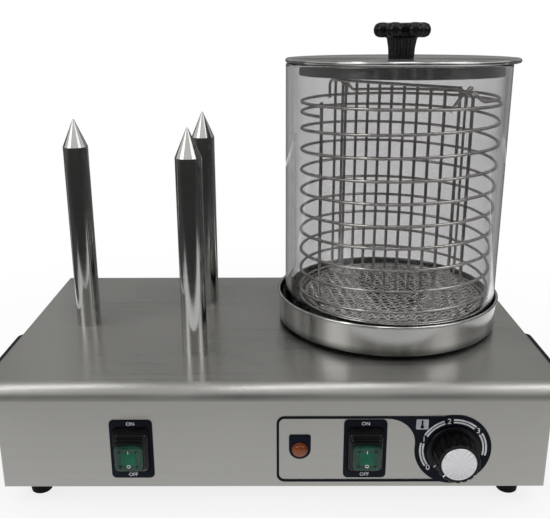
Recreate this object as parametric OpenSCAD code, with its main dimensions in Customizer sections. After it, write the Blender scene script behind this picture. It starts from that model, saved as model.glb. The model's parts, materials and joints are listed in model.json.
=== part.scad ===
// Counter-top hot dog warmer: a folded steel housing with three heated bun spikes on the left,
// and a steam tray with a glass cylinder, wire basket and lid on the right.
// Millimetres, +Z up, front towards -Y, origin under the middle of the whole part.

/* [Housing] */
// Width of the housing over its side panels
body_w = 471; // [440:1:520]
// Depth of the housing from the nose to the rear panel
body_d = 278; // [262:1:320]
// Height of the housing without its feet
body_h = 109; // [104:1:125]
// Thickness of the folded steel sheet
sheet = 1.5; // [1:0.1:2]
// Outer radius of the rounded nose
nose_r = 12.5; // [9:0.5:16]
// Height of the nose and apron together
apron_h = 24.5; // [20:0.5:28]
// Distance from the nose back to the front panel
panel_recess = 27.5; // [26:0.5:32]
// Width of the folded lips and flanges inside
lip = 12; // [8:1:14]
// Height of the base pan's folded rim
pan_rim = 14; // [12:1:18]
// Length of a vent slot
vent_l = 34; // [20:1:40]
// Width of a vent slot
vent_w = 4; // [3:0.5:5]
// Step from one vent slot to the next
vent_step = 10; // [8:1:14]
// Number of vent slots in a row
vent_n = 9; // [4:1:11]

/* [Feet] */
// Height of a rubber foot
foot_h = 18; // [15:1:24]
// Diameter of a rubber foot at its top
foot_d = 22; // [18:1:28]
// Distance of a foot's axis from the panels beside it
foot_inset = 24; // [20:1:40]

/* [Handles] */
// Length of a side handle
handle_l = 110; // [90:1:130]
// Height of a side handle
handle_h = 22; // [16:1:26]
// Reach of a handle out from the side panel
handle_out = 22; // [20:1:30]
// Thickness of the handle's grip bar
handle_bar = 8; // [6:0.5:10]
// Length of each handle foot along the side
handle_foot = 15; // [12:1:20]
// Distance of a handle's middle behind the nose
handle_row = 104; // [95:1:150]
// Distance of a handle's top below the housing's top
handle_drop = 19.5; // [15:0.5:30]

/* [Bun spikes] */
// Outer diameter of a spike
spike_d = 22.5; // [18:0.5:24]
// Height of a spike with its tip
spike_h = 197; // [160:1:220]
// Height of the conical tip
tip_h = 25; // [18:1:32]
// Bore of a spike for its heater
spike_bore = 10.4; // [10:0.1:11]
// Distance of the single spike from the left side
spike_left_inset = 55.5; // [45:0.5:70]
// Distance of the spike pair from the left side
spike_pair_inset = 165.5; // [140:0.5:185]
// Distance of the middle of the spikes behind the nose
spike_row = 139.5; // [130:0.5:160]
// Distance of each of the pair from that middle
spike_spread = 64; // [45:1:75]
// Room left in a spike above its heater cartridge
heater_room = 24; // [4:1:60]

/* [Steam tray] */
// Room between the glass and the tray's wall on the nearer side
tray_room = 1.2; // [0.8:0.1:4]
// Height of the tray from its floor to its rim
tray_h = 27.5; // [22:0.5:34]
// Thickness of the tray's sheet
tray_wall = 0.8; // [0.6:0.1:1]
// Radius of the rolled bead on the rim
tray_bead_r = 1.4; // [1.2:0.1:1.8]
// Distance of the tray's axis from the right side
tray_inset = 126; // [118:1:132]
// Distance of the tray's axis behind the nose
tray_row = 151.5; // [135:0.5:160]
// Height of the seal between tray and housing
seal_h = 3.5; // [2:0.5:6]
// Distance of the heater plate's edge inside the tray's studs
plate_in = 16; // [13:1:30]
// Thickness of the heater plate
plate_t = 6; // [5:0.5:8]
// Distance of the heater ring's tube inside the plate's edge
ring_in = 12; // [8:1:20]
// Diameter of the heater ring's tube
ring_tube = 8.4; // [7:0.2:9]

/* [Glass and lid] */
// Outer diameter of the glass cylinder
glass_d = 200; // [192:0.5:206]
// Wall of the glass cylinder
glass_wall = 5; // [4:0.25:6]
// Bevel on the glass cylinder's ground edges
glass_edge = 1.5; // [0.8:0.1:1.8]
// Height of the glass cylinder
glass_h = 240; // [220:1:260]
// How far the glass stands to the right of the tray's axis
glass_shift = 2; // [0:0.25:3]
// Diameter of the lid's flange over its rolled edge
lid_d = 207; // [204:0.5:214]
// Room between the lid's skirt and the glass on the nearer side
skirt_room = 1; // [0.5:0.1:4]
// Depth of the lid's skirt
lid_skirt_h = 10.5; // [6:0.5:13]
// Radius of the lid's rolled edge
lid_bead_r = 2; // [1.5:0.1:2.5]
// How far the lid sits to the right of the glass
lid_shift = 3; // [0:0.25:4]
// Diameter of the lid knob's head over its lobes
knob_head_d = 50.8; // [44:0.2:60]
// Height of the lid knob
knob_h = 31; // [27:0.5:38]
// Number of lobes round the lid knob's head
knob_lobes = 6; // [5:1:8]

/* [Basket] */
// Room between the basket and the glass on the nearer side
basket_room = 1.05; // [0.8:0.05:4]
// Diameter of the basket's wire
wire = 2.5; // [2:0.1:2.8]
// Height of the bottom ring above the tray's floor
ring_low = 24; // [20:0.5:32]
// Room between the divider and the lid's skirt
head_room = 6.85; // [3:0.05:20]
// Distance from the top ring down to the start of the coil
coil_drop = 9; // [7:0.5:12]
// Distance from the end of the coil down to the bottom ring
coil_foot = 3.8; // [3.4:0.1:8]
// Turns of the coil
coil_turns = 9.25; // [5.25:1:10.25]
// Part of a turn over which the coil leaves the level and takes up its slope
coil_ease = 0.6; // [0.2:0.1:1]
// How far the basket stands to the right of the glass
basket_shift = 3.6; // [0:0.2:4]
// Turn of the first upright wire from the X axis
strut_turn = 32.6; // [28:0.2:36]
// Height of the hooks on two upright wires above the top ring
hook_h = 9; // [6:0.5:12]
// How far the folded handle lies inside the basket's rings
bail_in = 2.1; // [1:0.1:6]
// Run of the handle's sloping legs along the ring
bail_run = 9; // [7:0.5:14]
// Turn of the divider from the X axis
divider_turn = -51; // [-54:1:-48]
// Distance of the divider's plane from the basket's axis
divider_off = 8; // [7:0.5:10]
// Height of the divider's top wire above the top ring
divider_up = 15; // [11:0.5:16]
// Number of upright wires in the divider
divider_n = 11; // [7:1:13]
// Thickness of the mesh floor
floor_t = 1.6; // [1.2:0.1:2.2]
// Width of a mesh opening with its strand
mesh_w = 17; // [16:0.5:24]
// Depth of a mesh opening with its strand
mesh_d = 10; // [9.5:0.5:14]
// Width of a mesh strand
mesh_strand = 1.8; // [1.4:0.1:2.4]

/* [Controls] */
// Width of a switch plate
plate_w = 37; // [36:0.5:42]
// Height of a switch plate
plate_h = 56; // [52:0.5:58]
// Distance of the left switch from the left side
switch_left_inset = 113.5; // [95:0.5:140]
// Distance of the right switch from the right side
switch_right_inset = 157; // [148:0.5:170]
// Height of the switches and the lamp above the housing's underside
control_rise = 37; // [35:0.5:38]
// Reach of a switch hood out of its plate
hood_out = 13; // [11:0.5:16]
// Width and height of a hood's front
hood_front = 25; // [24:0.5:27]
// Tilt of a rocker each way
rocker_tilt = 9; // [6:0.5:10]
// Distance of the pilot lamp from the right side
lamp_inset = 213; // [205:0.5:220]
// Diameter of the pilot lamp's lens
lens_d = 13.6; // [11:0.2:15]
// Distance of the thermostat dial from the right side
dial_inset = 81.5; // [60:0.5:84]
// Radius of the dial's black disc
dial_r = 33; // [31:0.5:35]
// Distance of the printed frame's left edge from the right side
frame_inset = 233; // [228:0.5:240]
// Width of the printed frame's line
frame_line = 2.2; // [1.5:0.1:3]
// Reach of the thermostat knob out of the panel
knob_out = 24; // [20:0.5:26]
// Diameter of the thermostat knob's skirt
dial_knob_d = 46; // [42:0.5:50]
// Diameter of the thermostat shaft
shaft_d = 6; // [5:0.1:6.5]

/* [Hidden] */
$fn = 48;
// Named clearances and small constants
overcut = 1;          // how far a cut runs past a face
rest_gap = 0.3;       // between loose pieces that stand on each other
run_gap = 0.06;       // radial room of a turning shaft or pin
hole_gap = 0.2;       // radial room of a screw, stud or body in its hole
snug_gap = 0.05;      // between pieces fixed in each other
weld_gap = 0.05;      // between wires that lie against each other

// Levels and main planes
gland_out = 14;
front_y = -(body_d + gland_out) / 2;
rear_y = front_y + body_d;
panel_y = front_y + panel_recess;
panel_back_y = panel_y + sheet;
rear_in_y = rear_y - sheet;
side_x = body_w / 2;
inner_x = side_x - sheet;
top_z = foot_h + body_h;
under_z = top_z - sheet;
apron_z = top_z - apron_h;
pan_z = foot_h + sheet;

// Screws: shank and head radii, head height
screw_r = 2.5;
screw_head_r = 4.5;
screw_head_h = 2.8;
small_r = 2;
small_head_r = 3.6;
small_head_h = 2.2;
vent_corner = 0.45 * vent_w;

// Places of the feet
foot_x = side_x - foot_inset;
foot_front_y = panel_y + foot_inset;
foot_rear_y = rear_y - foot_inset;
foot_sites = [for (x = [-foot_x, foot_x], y = [foot_front_y, foot_rear_y]) [x, y]];
foot_taper = 4;
foot_base_d = foot_d - foot_taper;
foot_well_r = 5.5;
foot_well_h = 8;
foot_screw_up = 6;

// Places of the handles
handle_y = front_y + handle_row;
handle_z = top_z - handle_drop - handle_h / 2;
handle_corner = 7;
handle_inner_corner = 4;
handle_pitch = handle_l - handle_foot;
handle_bore_l = 14;

// Spikes
spike_mid_y = front_y + spike_row;
spike_left = [-side_x + spike_left_inset, spike_mid_y];
spike_front = [-side_x + spike_pair_inset, spike_mid_y - spike_spread];
spike_rear = [-side_x + spike_pair_inset, spike_mid_y + spike_spread];
spike_sites = [spike_left, spike_front, spike_rear];
spigot_wall = 1.8;
spigot_r = spike_bore / 2 + spigot_wall;
spigot_l = 14;
spike_nut_wall = 5;
spike_nut_r = spigot_r + spike_nut_wall;
spike_nut_h = 6;
heater_gap = 0.2;
heater_drop = 10;
lead_l = 16;
plug_l = 8;
heater_l = spike_h - tip_h - plug_l - heater_room + heater_drop;
tip_point_r = 0.8;

// Tray, seal and heater
tray_x = side_x - tray_inset;
tray_y = front_y + tray_row;
tray_r = glass_d / 2 + glass_shift + tray_room + tray_wall;
tray_edge_r = tray_room + tray_wall + glass_edge;
tray_flat_r = tray_r - tray_edge_r;
tray_under_z = top_z + seal_h;
tray_floor_z = tray_under_z + tray_wall;
seal_in = 2.5;
seal_r = tray_flat_r - seal_in;
seal_w = 5;
stud_in = 5;
stud_pcd_r = seal_r - seal_w - stud_in;
plate_r = stud_pcd_r - plate_in;
plate_room = 7;
cover_hole_r = plate_r + plate_room;
ring_r = plate_r - ring_in;
stud_turns = [30, 150, 270];
stud_l = 9;
nut_r = 4.8;
nut_h = 4;
plate_low_z = tray_under_z - plate_t;
ring_open = 28;
ring_leg = 16;
ring_leg_d = 0.8 * ring_tube;
ring_leg_turn = ring_open / 2 + 5;
cutout_r = 8;
cutout_h = 7;
cutout_site = [-26, 18];
tab_w = 6;
tab_h = 8;
tab_t = 0.8;

// Thermostat and knob
dial_x = side_x - dial_inset;
dial_down = 0.6;
dial_z = foot_h + control_rise - dial_down;
bush_wall = 2;
bush_r = shaft_d / 2 + bush_wall;
bush_out = 3;
stat_w = 36;
stat_d = 30;
stat_thread = 10;
shaft_in = 20;
shaft_end = 5;
skirt_t = 3;
skirt_wall = 1;
knob_gap = 1.2;
skirt_step = 4;
knob_back_r = dial_knob_d / 2 - skirt_step;
knob_front_r = 18;
cap_rim = 3.2;
cap_r = knob_front_r - cap_rim;
cap_t = 1.2;
flute_n = 18;
flute_r = 1.1;
stat_screw_pitch = 28;
knob_well_r = stat_screw_pitch / 2 + small_head_r + overcut;
bulb_r = 3;
bulb_l = 40;
capillary_r = 1;
capillary_sides = 8;
capillary_rings = 24;
bulb_room = 4;
bulb_x = tray_x + ring_r - ring_tube - bulb_r - bulb_room;
bulb_z = plate_low_z - bulb_r - snug_gap;

// Printed overlay: frame round the controls, flaring into the dial
overlay_t = 0.5;
frame_x = side_x - frame_inset;
frame_step = 1.3;
frame_room = 0.5;
frame_half = max(dial_r - frame_step, plate_h / 2 + dial_down + frame_room + frame_line);
frame_low = dial_z - frame_half;
frame_high = dial_z + frame_half;
frame_corner = 7;

// Switches
switch_left_x = -side_x + switch_left_inset;
switch_right_x = side_x - switch_right_inset;
switch_z = foot_h + control_rise;
plate_t_front = 0.8;
plate_corner = 4;
cell_w = 22;
cell_h = 30;
cell_d = 24;
cell_lip = 2;
cell_lip_t = 1.2;
pocket_w = 14.6;
pocket_h = 24;
pocket_d = 11;
rocker_w = 14;
rocker_h = 20;
rocker_face = 5.5;
rocker_root = 3;
pivot_out = plate_t_front + cell_lip_t / 2 - rocker_root;
rocker_hub_r = 4;
pin_r = 1.5;
pin_l = 2;
hood_w = 31;
hood_h = 44;
hood_wall = 1.6;
hood_corner = 4;
hood_sides = 32;
window_t = 1.2;
window_h = 3;
window_front = hood_front - 2 * hood_wall;

// Hollow curve from the frame's upper line into the dial's disc, beside the right switch
flare_room = 0.3;
flare_x = switch_right_x + plate_w / 2 + flare_room;
flare_run = dial_x - flare_x;
flare_rise = frame_half - frame_line;
flare_r = (pow(flare_run, 2) + pow(flare_rise, 2) - pow(dial_r, 2)) / (2 * (dial_r + flare_rise));
flare_z = dial_z + flare_rise - flare_r;

// Lamp
lamp_x = side_x - lamp_inset;
lamp_down = 0.2;
lamp_z = switch_z - lamp_down;
lamp_plate_w = 18.8;
lamp_plate_h = 23.2;
lamp_plate_low = 9.4;
lamp_body_r = 5;
lamp_body_l = 24;
lens_rim = 1.4;
lens_dome_h = lens_d / 4;
lens_dome_r = (pow(lens_d / 2, 2) + pow(lens_dome_h, 2)) / (2 * lens_dome_h);
lamp_nut_r = lamp_body_r + 2;

// Terminals and gland
block = [44, 18, 14];
block_inset = 150;
block_back = 50;
block_site = [-side_x + block_inset, rear_y - block_back];
block_ways = 4;
gland_inset = 60;
gland_rise = 32;
gland_x = -side_x + gland_inset;
gland_z = foot_h + gland_rise;
gland_bore_r = 4;
gland_body_r = 8;
gland_dome_r = 10;
gland_mouth_r = 7;
gland_hex_r = 12;
gland_hex_h = 6;
gland_in = 10;

// Glass and lid
glass_x = tray_x + glass_shift;
glass_low_z = tray_floor_z + rest_gap;
glass_top_z = glass_low_z + glass_h;
lid_x = glass_x + lid_shift;
lid_z = glass_top_z + rest_gap;
lid_skirt_r = glass_d / 2 - glass_wall - lid_shift - skirt_room;
lid_sheet = 1;
knob_neck_low_r = 11.7;
knob_neck_high_r = 13;
knob_head_h = 12;
knob_lobe_r = 8;
knob_dome_h = 1;
knob_dome_r = 15.5;
lid_screw_r = 3;
lid_hole_r = lid_screw_r + hole_gap;
lid_screw_head_r = 8;
lid_screw_head_h = 3;
lid_screw_l = 16;

// Basket
basket_x = glass_x + basket_shift;
basket_y = tray_y;
wire_r = wire / 2;
basket_r = glass_d / 2 - glass_wall - basket_shift - basket_room - wire_r;
ring_low_z = tray_floor_z + ring_low;
divider_high_z = lid_z - lid_skirt_h - head_room - wire_r;
ring_high_z = divider_high_z - divider_up;
strut_r = basket_r - wire - weld_gap;
strut_low_z = tray_floor_z + rest_gap;
strut_turns = [for (k = [0:3]) strut_turn + 90 * k];
hook_r = 3.5;
hook_l = 8;
bail_room = 0.35;
eye_room = 0.7;
bail_r = basket_r - bail_in;
bail_z = ring_high_z + wire + bail_room + wire_r;
bail_axis_z = ring_high_z + hook_h + hook_r;
bail_axis_r = strut_r - hook_r;
eye_r = wire + eye_room;
bail_cut = asin((eye_r + bail_run) / bail_r);
bail_leg_r = 0.9 * wire_r;
floor_r = strut_r - wire_r - weld_gap;
floor_rim = 3;
coil_rings = 24;
coil_sides = 6;
coil_start = strut_turn + 180;
coil_top_z = ring_high_z - coil_drop;
coil_pitch = (coil_top_z - ring_low_z - coil_foot) / (coil_turns - coil_ease / 2);
divider_foot = 1;
divider_low_z = ring_low_z + wire_r + floor_t + divider_foot;
divider_bend = 5;
divider_lap = 0.8 * wire;
divider_left = sqrt(pow(strut_r - weld_gap, 2) - pow(divider_off, 2));
divider_short = 11.5;
divider_right = divider_left - divider_short;
divider_end_l = divider_up + wire;
divider_edge = 6.5;
divider_tail = 4.3;
divider_first = -divider_left + divider_edge;
divider_last = divider_right - divider_tail;
divider_step = (divider_last - divider_first) / (divider_n - 1);

// Points along a right-hand helix that leaves its top end level, with a straight end of one wire at each side
function helix_point(turn) = [
    basket_r * cos(coil_start - 360 * turn),
    basket_r * sin(coil_start - 360 * turn),
    coil_top_z - coil_pitch * eased(turn)
];
function eased(turn) = turn < coil_ease ? turn * turn / (2 * coil_ease) : turn - coil_ease / 2;
function helix_points() = [
    for (k = [0:coil_rings * coil_turns]) helix_point(k / coil_rings)
];
function with_straight_ends(path, length) =
    let (n = len(path))
    let (first = unit(path[0] - path[1]), last = unit(path[n - 1] - path[n - 2]))
    concat([path[0] + length * first], path, [path[n - 1] + length * last]);
function unit(v) = v / norm(v);

// Least distance between stretches of a wound tube that are at least half a turn apart
function least_gap(path, apart, thickness) =
    min([
        for (i = [0:len(path) - 1 - apart], j = [i + apart:len(path) - 1])
            norm(path[i] - path[j])
    ]) - thickness;

// Smooth route between two points with a given heading at each
function bezier(a, b, c, d, t) =
    pow(1 - t, 3) * a + 3 * pow(1 - t, 2) * t * b + 3 * (1 - t) * t * t * c + pow(t, 3) * d;

// One closed tube along a path: a ring of corners at each point, joined by triangles
module swept_tube(path, radius, sides, level) {
    count = len(path);
    corners = [
        for (i = [0:count - 1])
            let (heading = unit(path[min(i + 1, count - 1)] - path[max(i - 1, 0)]))
            let (across = unit(cross(heading, level)))
            let (up = cross(across, heading))
            for (k = [0:sides - 1])
                path[i] + radius * (cos(360 * k / sides) * across + sin(360 * k / sides) * up)
    ];
    walls = [
        for (i = [0:count - 2], k = [0:sides - 1])
            let (a = i * sides + k, b = i * sides + (k + 1) % sides)
            each [[a, b, a + sides], [b, b + sides, a + sides]]
    ];
    last = (count - 1) * sides;
    ends = [
        for (k = [1:sides - 2])
            each [[0, k + 1, k], [last, last + k, last + k + 1]]
    ];
    polyhedron(corners, concat(walls, ends));
}

// Draws a flat shape of the Y and Z axes as a sheet across the width, from one x to another
module across_width(x_from, x_to) {
    translate([x_from, 0, 0]) rotate([90, 0, 90]) linear_extrude(x_to - x_from) children();
}

// Places a piece on the front panel, with its own +Z pointing out of the panel
module on_panel(x, z, out = 0) {
    translate([x, panel_y - out, z]) rotate([90, 0, 0]) children();
}

// A rod from a point along an axis
module rod_y(x, y, z, radius, length) {
    translate([x, y, z]) rotate([-90, 0, 0]) cylinder(r = radius, h = length);
}
module rod_x(x, y, z, radius, length) {
    translate([x, y, z]) rotate([0, 90, 0]) cylinder(r = radius, h = length);
}

// A round rod from one point to another
module rod_between(from, to, radius) {
    way = to - from;
    translate(from) rotate([0, acos(way.z / norm(way)), atan2(way.y, way.x)])
        cylinder(r = radius, h = norm(way));
}

// A flat rectangle with round corners, about its middle
module round_rect(width, height, corner) {
    square([width - 2 * corner, height], center = true);
    square([width, height - 2 * corner], center = true);
    for (x = [-1, 1], y = [-1, 1])
        translate([x * (width / 2 - corner), y * (height / 2 - corner)]) circle(corner);
}

// A row of round-ended slots about its middle
module vent_row(count) {
    for (k = [0:count - 1])
        translate([(k - (count - 1) / 2) * vent_step, 0]) round_rect(vent_w, vent_l, vent_corner);
}

// Side outline of the nose and the top, drawn in by a distance
module top_section(inset) {
    radius = nose_r - inset;
    translate([front_y + nose_r, top_z - nose_r]) intersection() {
        circle(radius);
        translate([-radius, 0]) square(radius);
    }
    translate([front_y + inset, apron_z + inset]) square([radius, apron_h - nose_r - inset]);
    translate([front_y + nose_r, apron_z + inset])
        square([body_d - nose_r, apron_h - 2 * inset]);
}

// Top sheet: flat top, round nose, apron, the lip under it and a folded rear flange
module top_cover() {
    lip_end = panel_back_y + lip;
    color("silver") difference() {
        across_width(-inner_x, inner_x) {
            difference() {
                top_section(0);
                top_section(sheet);
                translate([lip_end, apron_z - overcut])
                    square([rear_y - lip_end + overcut, apron_h + overcut - sheet]);
            }
            translate([rear_in_y - sheet, under_z - lip]) square([sheet, lip + snug_gap]);
        }
        for (site = spike_sites)
            translate([site[0], site[1], under_z - overcut])
                cylinder(r = spigot_r + hole_gap, h = sheet + 2 * overcut);
        translate([tray_x, tray_y, under_z - overcut]) {
            cylinder(r = cover_hole_r, h = sheet + 2 * overcut);
            for (turn = stud_turns)
                rotate(turn) translate([stud_pcd_r, 0])
                    cylinder(r = screw_r + hole_gap, h = sheet + 2 * overcut);
        }
        rear_screw_sites(under_z - lip / 2)
            rod_y(0, rear_in_y - sheet - overcut, 0, small_r + snug_gap, 2 * overcut + sheet);
    }
}

// Places along the rear panel's top and bottom rows of screws
module rear_screw_sites(z) {
    for (x = [-1, 0, 1]) translate([x * (inner_x - 2 * lip), 0, z]) children();
}

// Side sheet with the section's full outline, flush with the nose
module side_panel(x) {
    side = sign(x);
    difference() {
        across_width(min(x, x - side * sheet), max(x, x - side * sheet)) {
            top_section(0);
            translate([panel_y, foot_h]) square([rear_y - panel_y, body_h - nose_r]);
        }
        handle_screw_sites()
            rod_x(x - sheet - overcut, 0, 0, screw_r + hole_gap, 2 * (sheet + overcut));
        base_screw_sites()
            rod_x(x - sheet - overcut, 0, 0, small_r + hole_gap, 2 * (sheet + overcut));
    }
}
module left_side_panel() {
    color("silver") side_panel(-side_x);
}
module right_side_panel() {
    color("silver") side_panel(side_x);
}

// Places of the screws in a side panel: the handle's and the base pan's
module handle_screw_sites() {
    for (y = [-1, 1]) translate([0, handle_y + y * handle_pitch / 2, handle_z]) children();
}
module base_screw_sites() {
    for (y = [panel_back_y + 3 * lip, rear_in_y - 3 * lip])
        translate([0, y, pan_z + pan_rim / 2]) children();
}

// Recessed front sheet with its cut-outs and a lip under the apron
module front_panel() {
    color("darkgray") difference() {
        union() {
            translate([-inner_x, panel_y, foot_h]) cube([2 * inner_x, sheet, apron_z - foot_h]);
            translate([-inner_x, panel_y, apron_z - sheet]) cube([2 * inner_x, sheet + lip, sheet]);
        }
        for (x = [switch_left_x, switch_right_x])
            on_panel(x, switch_z, -sheet - overcut) linear_extrude(sheet + 2 * overcut)
                square([cell_w + 2 * hole_gap, cell_h + 2 * hole_gap], center = true);
        rod_y(lamp_x, panel_y - overcut, lamp_z, lamp_body_r + hole_gap, sheet + 2 * overcut);
        rod_y(dial_x, panel_y - overcut, dial_z, bush_r + hole_gap, sheet + 2 * overcut);
        stat_screw_sites() rod_y(0, panel_y - overcut, 0, small_r + hole_gap, sheet + 2 * overcut);
    }
}

// Rear sheet with two rows of vents and the cable gland's hole
module rear_panel() {
    color("darkgray") difference() {
        translate([-inner_x, rear_in_y, foot_h]) cube([2 * inner_x, sheet, under_z - foot_h]);
        for (x = [0, inner_x / 2])
            translate([x, rear_y + overcut, foot_h + body_h / 2]) rotate([90, 0, 0])
                linear_extrude(sheet + 2 * overcut) vent_row(vent_n);
        rod_y(gland_x, rear_in_y - overcut, gland_z, gland_body_r + hole_gap, sheet + 2 * overcut);
        for (z = [under_z - lip / 2, pan_z + pan_rim / 2])
            rear_screw_sites(z)
                rod_y(0, rear_in_y - overcut, 0, small_r + hole_gap, sheet + 2 * overcut);
    }
}

// Floor pan with a folded rim all round, vents and foot holes
module base_pan() {
    depth = rear_in_y - panel_back_y;
    color("gray") difference() {
        translate([-inner_x, panel_back_y, foot_h]) cube([2 * inner_x, depth, sheet + pan_rim]);
        translate([-inner_x + sheet, panel_back_y + sheet, pan_z])
            cube([2 * (inner_x - sheet), depth - 2 * sheet, pan_rim + overcut]);
        for (site = foot_sites)
            translate([site[0], site[1], foot_h - overcut])
                cylinder(r = screw_r + hole_gap, h = sheet + 2 * overcut);
        for (x = [spike_left[0], tray_x])
            translate([x, tray_y, foot_h - overcut])
                linear_extrude(sheet + 2 * overcut) vent_row(vent_n);
        for (x = [-inner_x, inner_x])
            base_screw_sites()
                rod_x(x - sheet - overcut, 0, 0, small_r + snug_gap, 2 * (sheet + overcut));
        rear_screw_sites(pan_z + pan_rim / 2)
            rod_y(0, rear_in_y - sheet - overcut, 0, small_r + snug_gap, sheet + 2 * overcut);
    }
}

// Arched grip bolted to a side, drawn for the right and mirrored for the left
module handle() {
    reach = handle_out - handle_bar;
    gap = handle_l - 2 * handle_foot;
    corner_x = handle_out - handle_corner;
    corner_y = handle_l / 2 - handle_corner;
    difference() {
        translate([side_x, handle_y, handle_z - handle_h / 2]) linear_extrude(handle_h) difference() {
            union() {
                translate([0, -handle_l / 2]) square([corner_x, handle_l]);
                translate([0, -corner_y]) square([handle_out, 2 * corner_y]);
                for (y = [-1, 1]) translate([corner_x, y * corner_y]) circle(handle_corner);
            }
            translate([-overcut, -gap / 2]) square([reach - handle_inner_corner + overcut, gap]);
            translate([-overcut, -gap / 2 + handle_inner_corner])
                square([reach + overcut, gap - 2 * handle_inner_corner]);
            for (y = [-1, 1])
                translate([reach - handle_inner_corner, y * (gap / 2 - handle_inner_corner)])
                    circle(handle_inner_corner);
        }
        handle_screw_sites()
            rod_x(side_x - overcut, 0, 0, screw_r + snug_gap, handle_bore_l + overcut);
    }
}
module left_handle() {
    color("black") mirror([1, 0, 0]) handle();
}
module right_handle() {
    color("black") handle();
}
module handle_screws() {
    color("gray") for (side = [0, 1]) mirror([side, 0, 0]) handle_screw_sites() {
        rod_x(inner_x, 0, 0, screw_r, sheet + handle_bore_l - overcut);
        rod_x(inner_x - screw_head_h, 0, 0, screw_head_r, screw_head_h);
    }
}
module base_screws() {
    color("gray") for (side = [0, 1]) mirror([side, 0, 0]) base_screw_sites() {
        rod_x(inner_x - 2 * sheet, 0, 0, small_r, 3 * sheet);
        rod_x(side_x, 0, 0, small_head_r, small_head_h);
    }
}
module rear_screws() {
    color("gray") for (z = [under_z - lip / 2, pan_z + pan_rim / 2]) rear_screw_sites(z) {
        rod_y(0, rear_in_y - 2 * sheet, 0, small_r, 3 * sheet);
        rod_y(0, rear_y, 0, small_head_r, small_head_h);
    }
}

// Tapered rubber feet with a well for the screw's head
module feet() {
    color("black") for (site = foot_sites) translate(site) difference() {
        cylinder(d1 = foot_base_d, d2 = foot_d, h = foot_h);
        translate([0, 0, -overcut]) cylinder(r = foot_well_r, h = foot_well_h + overcut);
        cylinder(r = screw_r + snug_gap, h = foot_h + overcut);
    }
}
module foot_screws() {
    low = foot_well_h - screw_head_h;
    color("gray") for (site = foot_sites) translate([site[0], site[1], low]) {
        cylinder(r = screw_head_r, h = screw_head_h);
        cylinder(r = screw_r, h = pan_z + foot_screw_up - low);
    }
}

// Steel tube of a spike with a threaded spigot through the top
module spike_tube(site) {
    color("lightgray") translate([site[0], site[1], top_z]) difference() {
        union() {
            cylinder(d = spike_d, h = spike_h - tip_h);
            translate([0, 0, -spigot_l]) cylinder(r = spigot_r, h = spigot_l + overcut);
        }
        translate([0, 0, -spigot_l - overcut]) cylinder(d = spike_bore, h = spigot_l + spike_h);
    }
}
module spike_tube_left() {
    spike_tube(spike_left);
}
module spike_tube_front() {
    spike_tube(spike_front);
}
module spike_tube_rear() {
    spike_tube(spike_rear);
}

// Conical tip with a plug that sits in the tube
module spike_tip(site) {
    color("silver") translate([site[0], site[1], top_z + spike_h - tip_h]) {
        rotate_extrude() polygon([
            [0, 0], [spike_d / 2, 0], [tip_point_r, tip_h - tip_point_r], [0, tip_h]
        ]);
        translate([0, 0, -plug_l]) cylinder(d = spike_bore - 2 * snug_gap, h = plug_l + tip_point_r);
    }
}
module spike_tip_left() {
    spike_tip(spike_left);
}
module spike_tip_front() {
    spike_tip(spike_front);
}
module spike_tip_rear() {
    spike_tip(spike_rear);
}
module spike_heaters() {
    color("dimgray") for (site = spike_sites) translate([site[0], site[1], top_z - heater_drop]) {
        cylinder(r = spike_bore / 2 - heater_gap, h = heater_l);
        translate([0, 0, -lead_l]) cylinder(r = spike_bore / 4, h = lead_l + overcut);
    }
}
module spike_nuts() {
    color("gray") for (site = spike_sites)
        translate([site[0], site[1], under_z - spike_nut_h]) difference() {
            cylinder(r = spike_nut_r, h = spike_nut_h, $fn = 6);
            translate([0, 0, -overcut])
                cylinder(r = spigot_r + snug_gap, h = spike_nut_h + 2 * overcut);
        }
}

// Dish section drawn in by a distance, open at the top
module tray_section(inset, height) {
    translate([tray_flat_r, tray_edge_r]) circle(tray_edge_r - inset);
    translate([0, inset]) square([tray_flat_r, height - inset]);
    translate([0, tray_edge_r]) square([tray_r - inset, height - tray_edge_r]);
}

// Polished dish with a rolled rim and welded studs under its floor
module steam_tray() {
    color("lightgray") translate([tray_x, tray_y, tray_under_z]) {
        rotate_extrude($fn = 96) {
            difference() {
                tray_section(0, tray_h);
                tray_section(tray_wall, tray_h + overcut);
            }
            translate([tray_r + tray_wall / 4, tray_h]) circle(tray_bead_r);
        }
        for (turn = stud_turns)
            rotate(turn) translate([stud_pcd_r, 0, -seal_h - sheet - stud_l])
                cylinder(r = screw_r, h = seal_h + sheet + stud_l + tray_wall / 2);
    }
}
module tray_seal() {
    color("black") translate([tray_x, tray_y, top_z]) rotate_extrude($fn = 96)
        translate([seal_r - seal_w, 0]) square([seal_w, seal_h]);
}
module tray_nuts() {
    color("gray") translate([tray_x, tray_y, under_z - nut_h]) for (turn = stud_turns)
        rotate(turn) translate([stud_pcd_r, 0]) difference() {
            cylinder(r = nut_r, h = nut_h, $fn = 6);
            translate([0, 0, -overcut]) cylinder(r = screw_r + snug_gap, h = nut_h + 2 * overcut);
        }
}

// Aluminium plate under the tray, with a groove for the heater ring
module heater_plate() {
    color("gainsboro") translate([tray_x, tray_y, plate_low_z]) difference() {
        cylinder(r = plate_r, h = plate_t);
        rotate_extrude($fn = 96) translate([ring_r, 0]) circle(ring_tube / 2 + snug_gap);
    }
}

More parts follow.
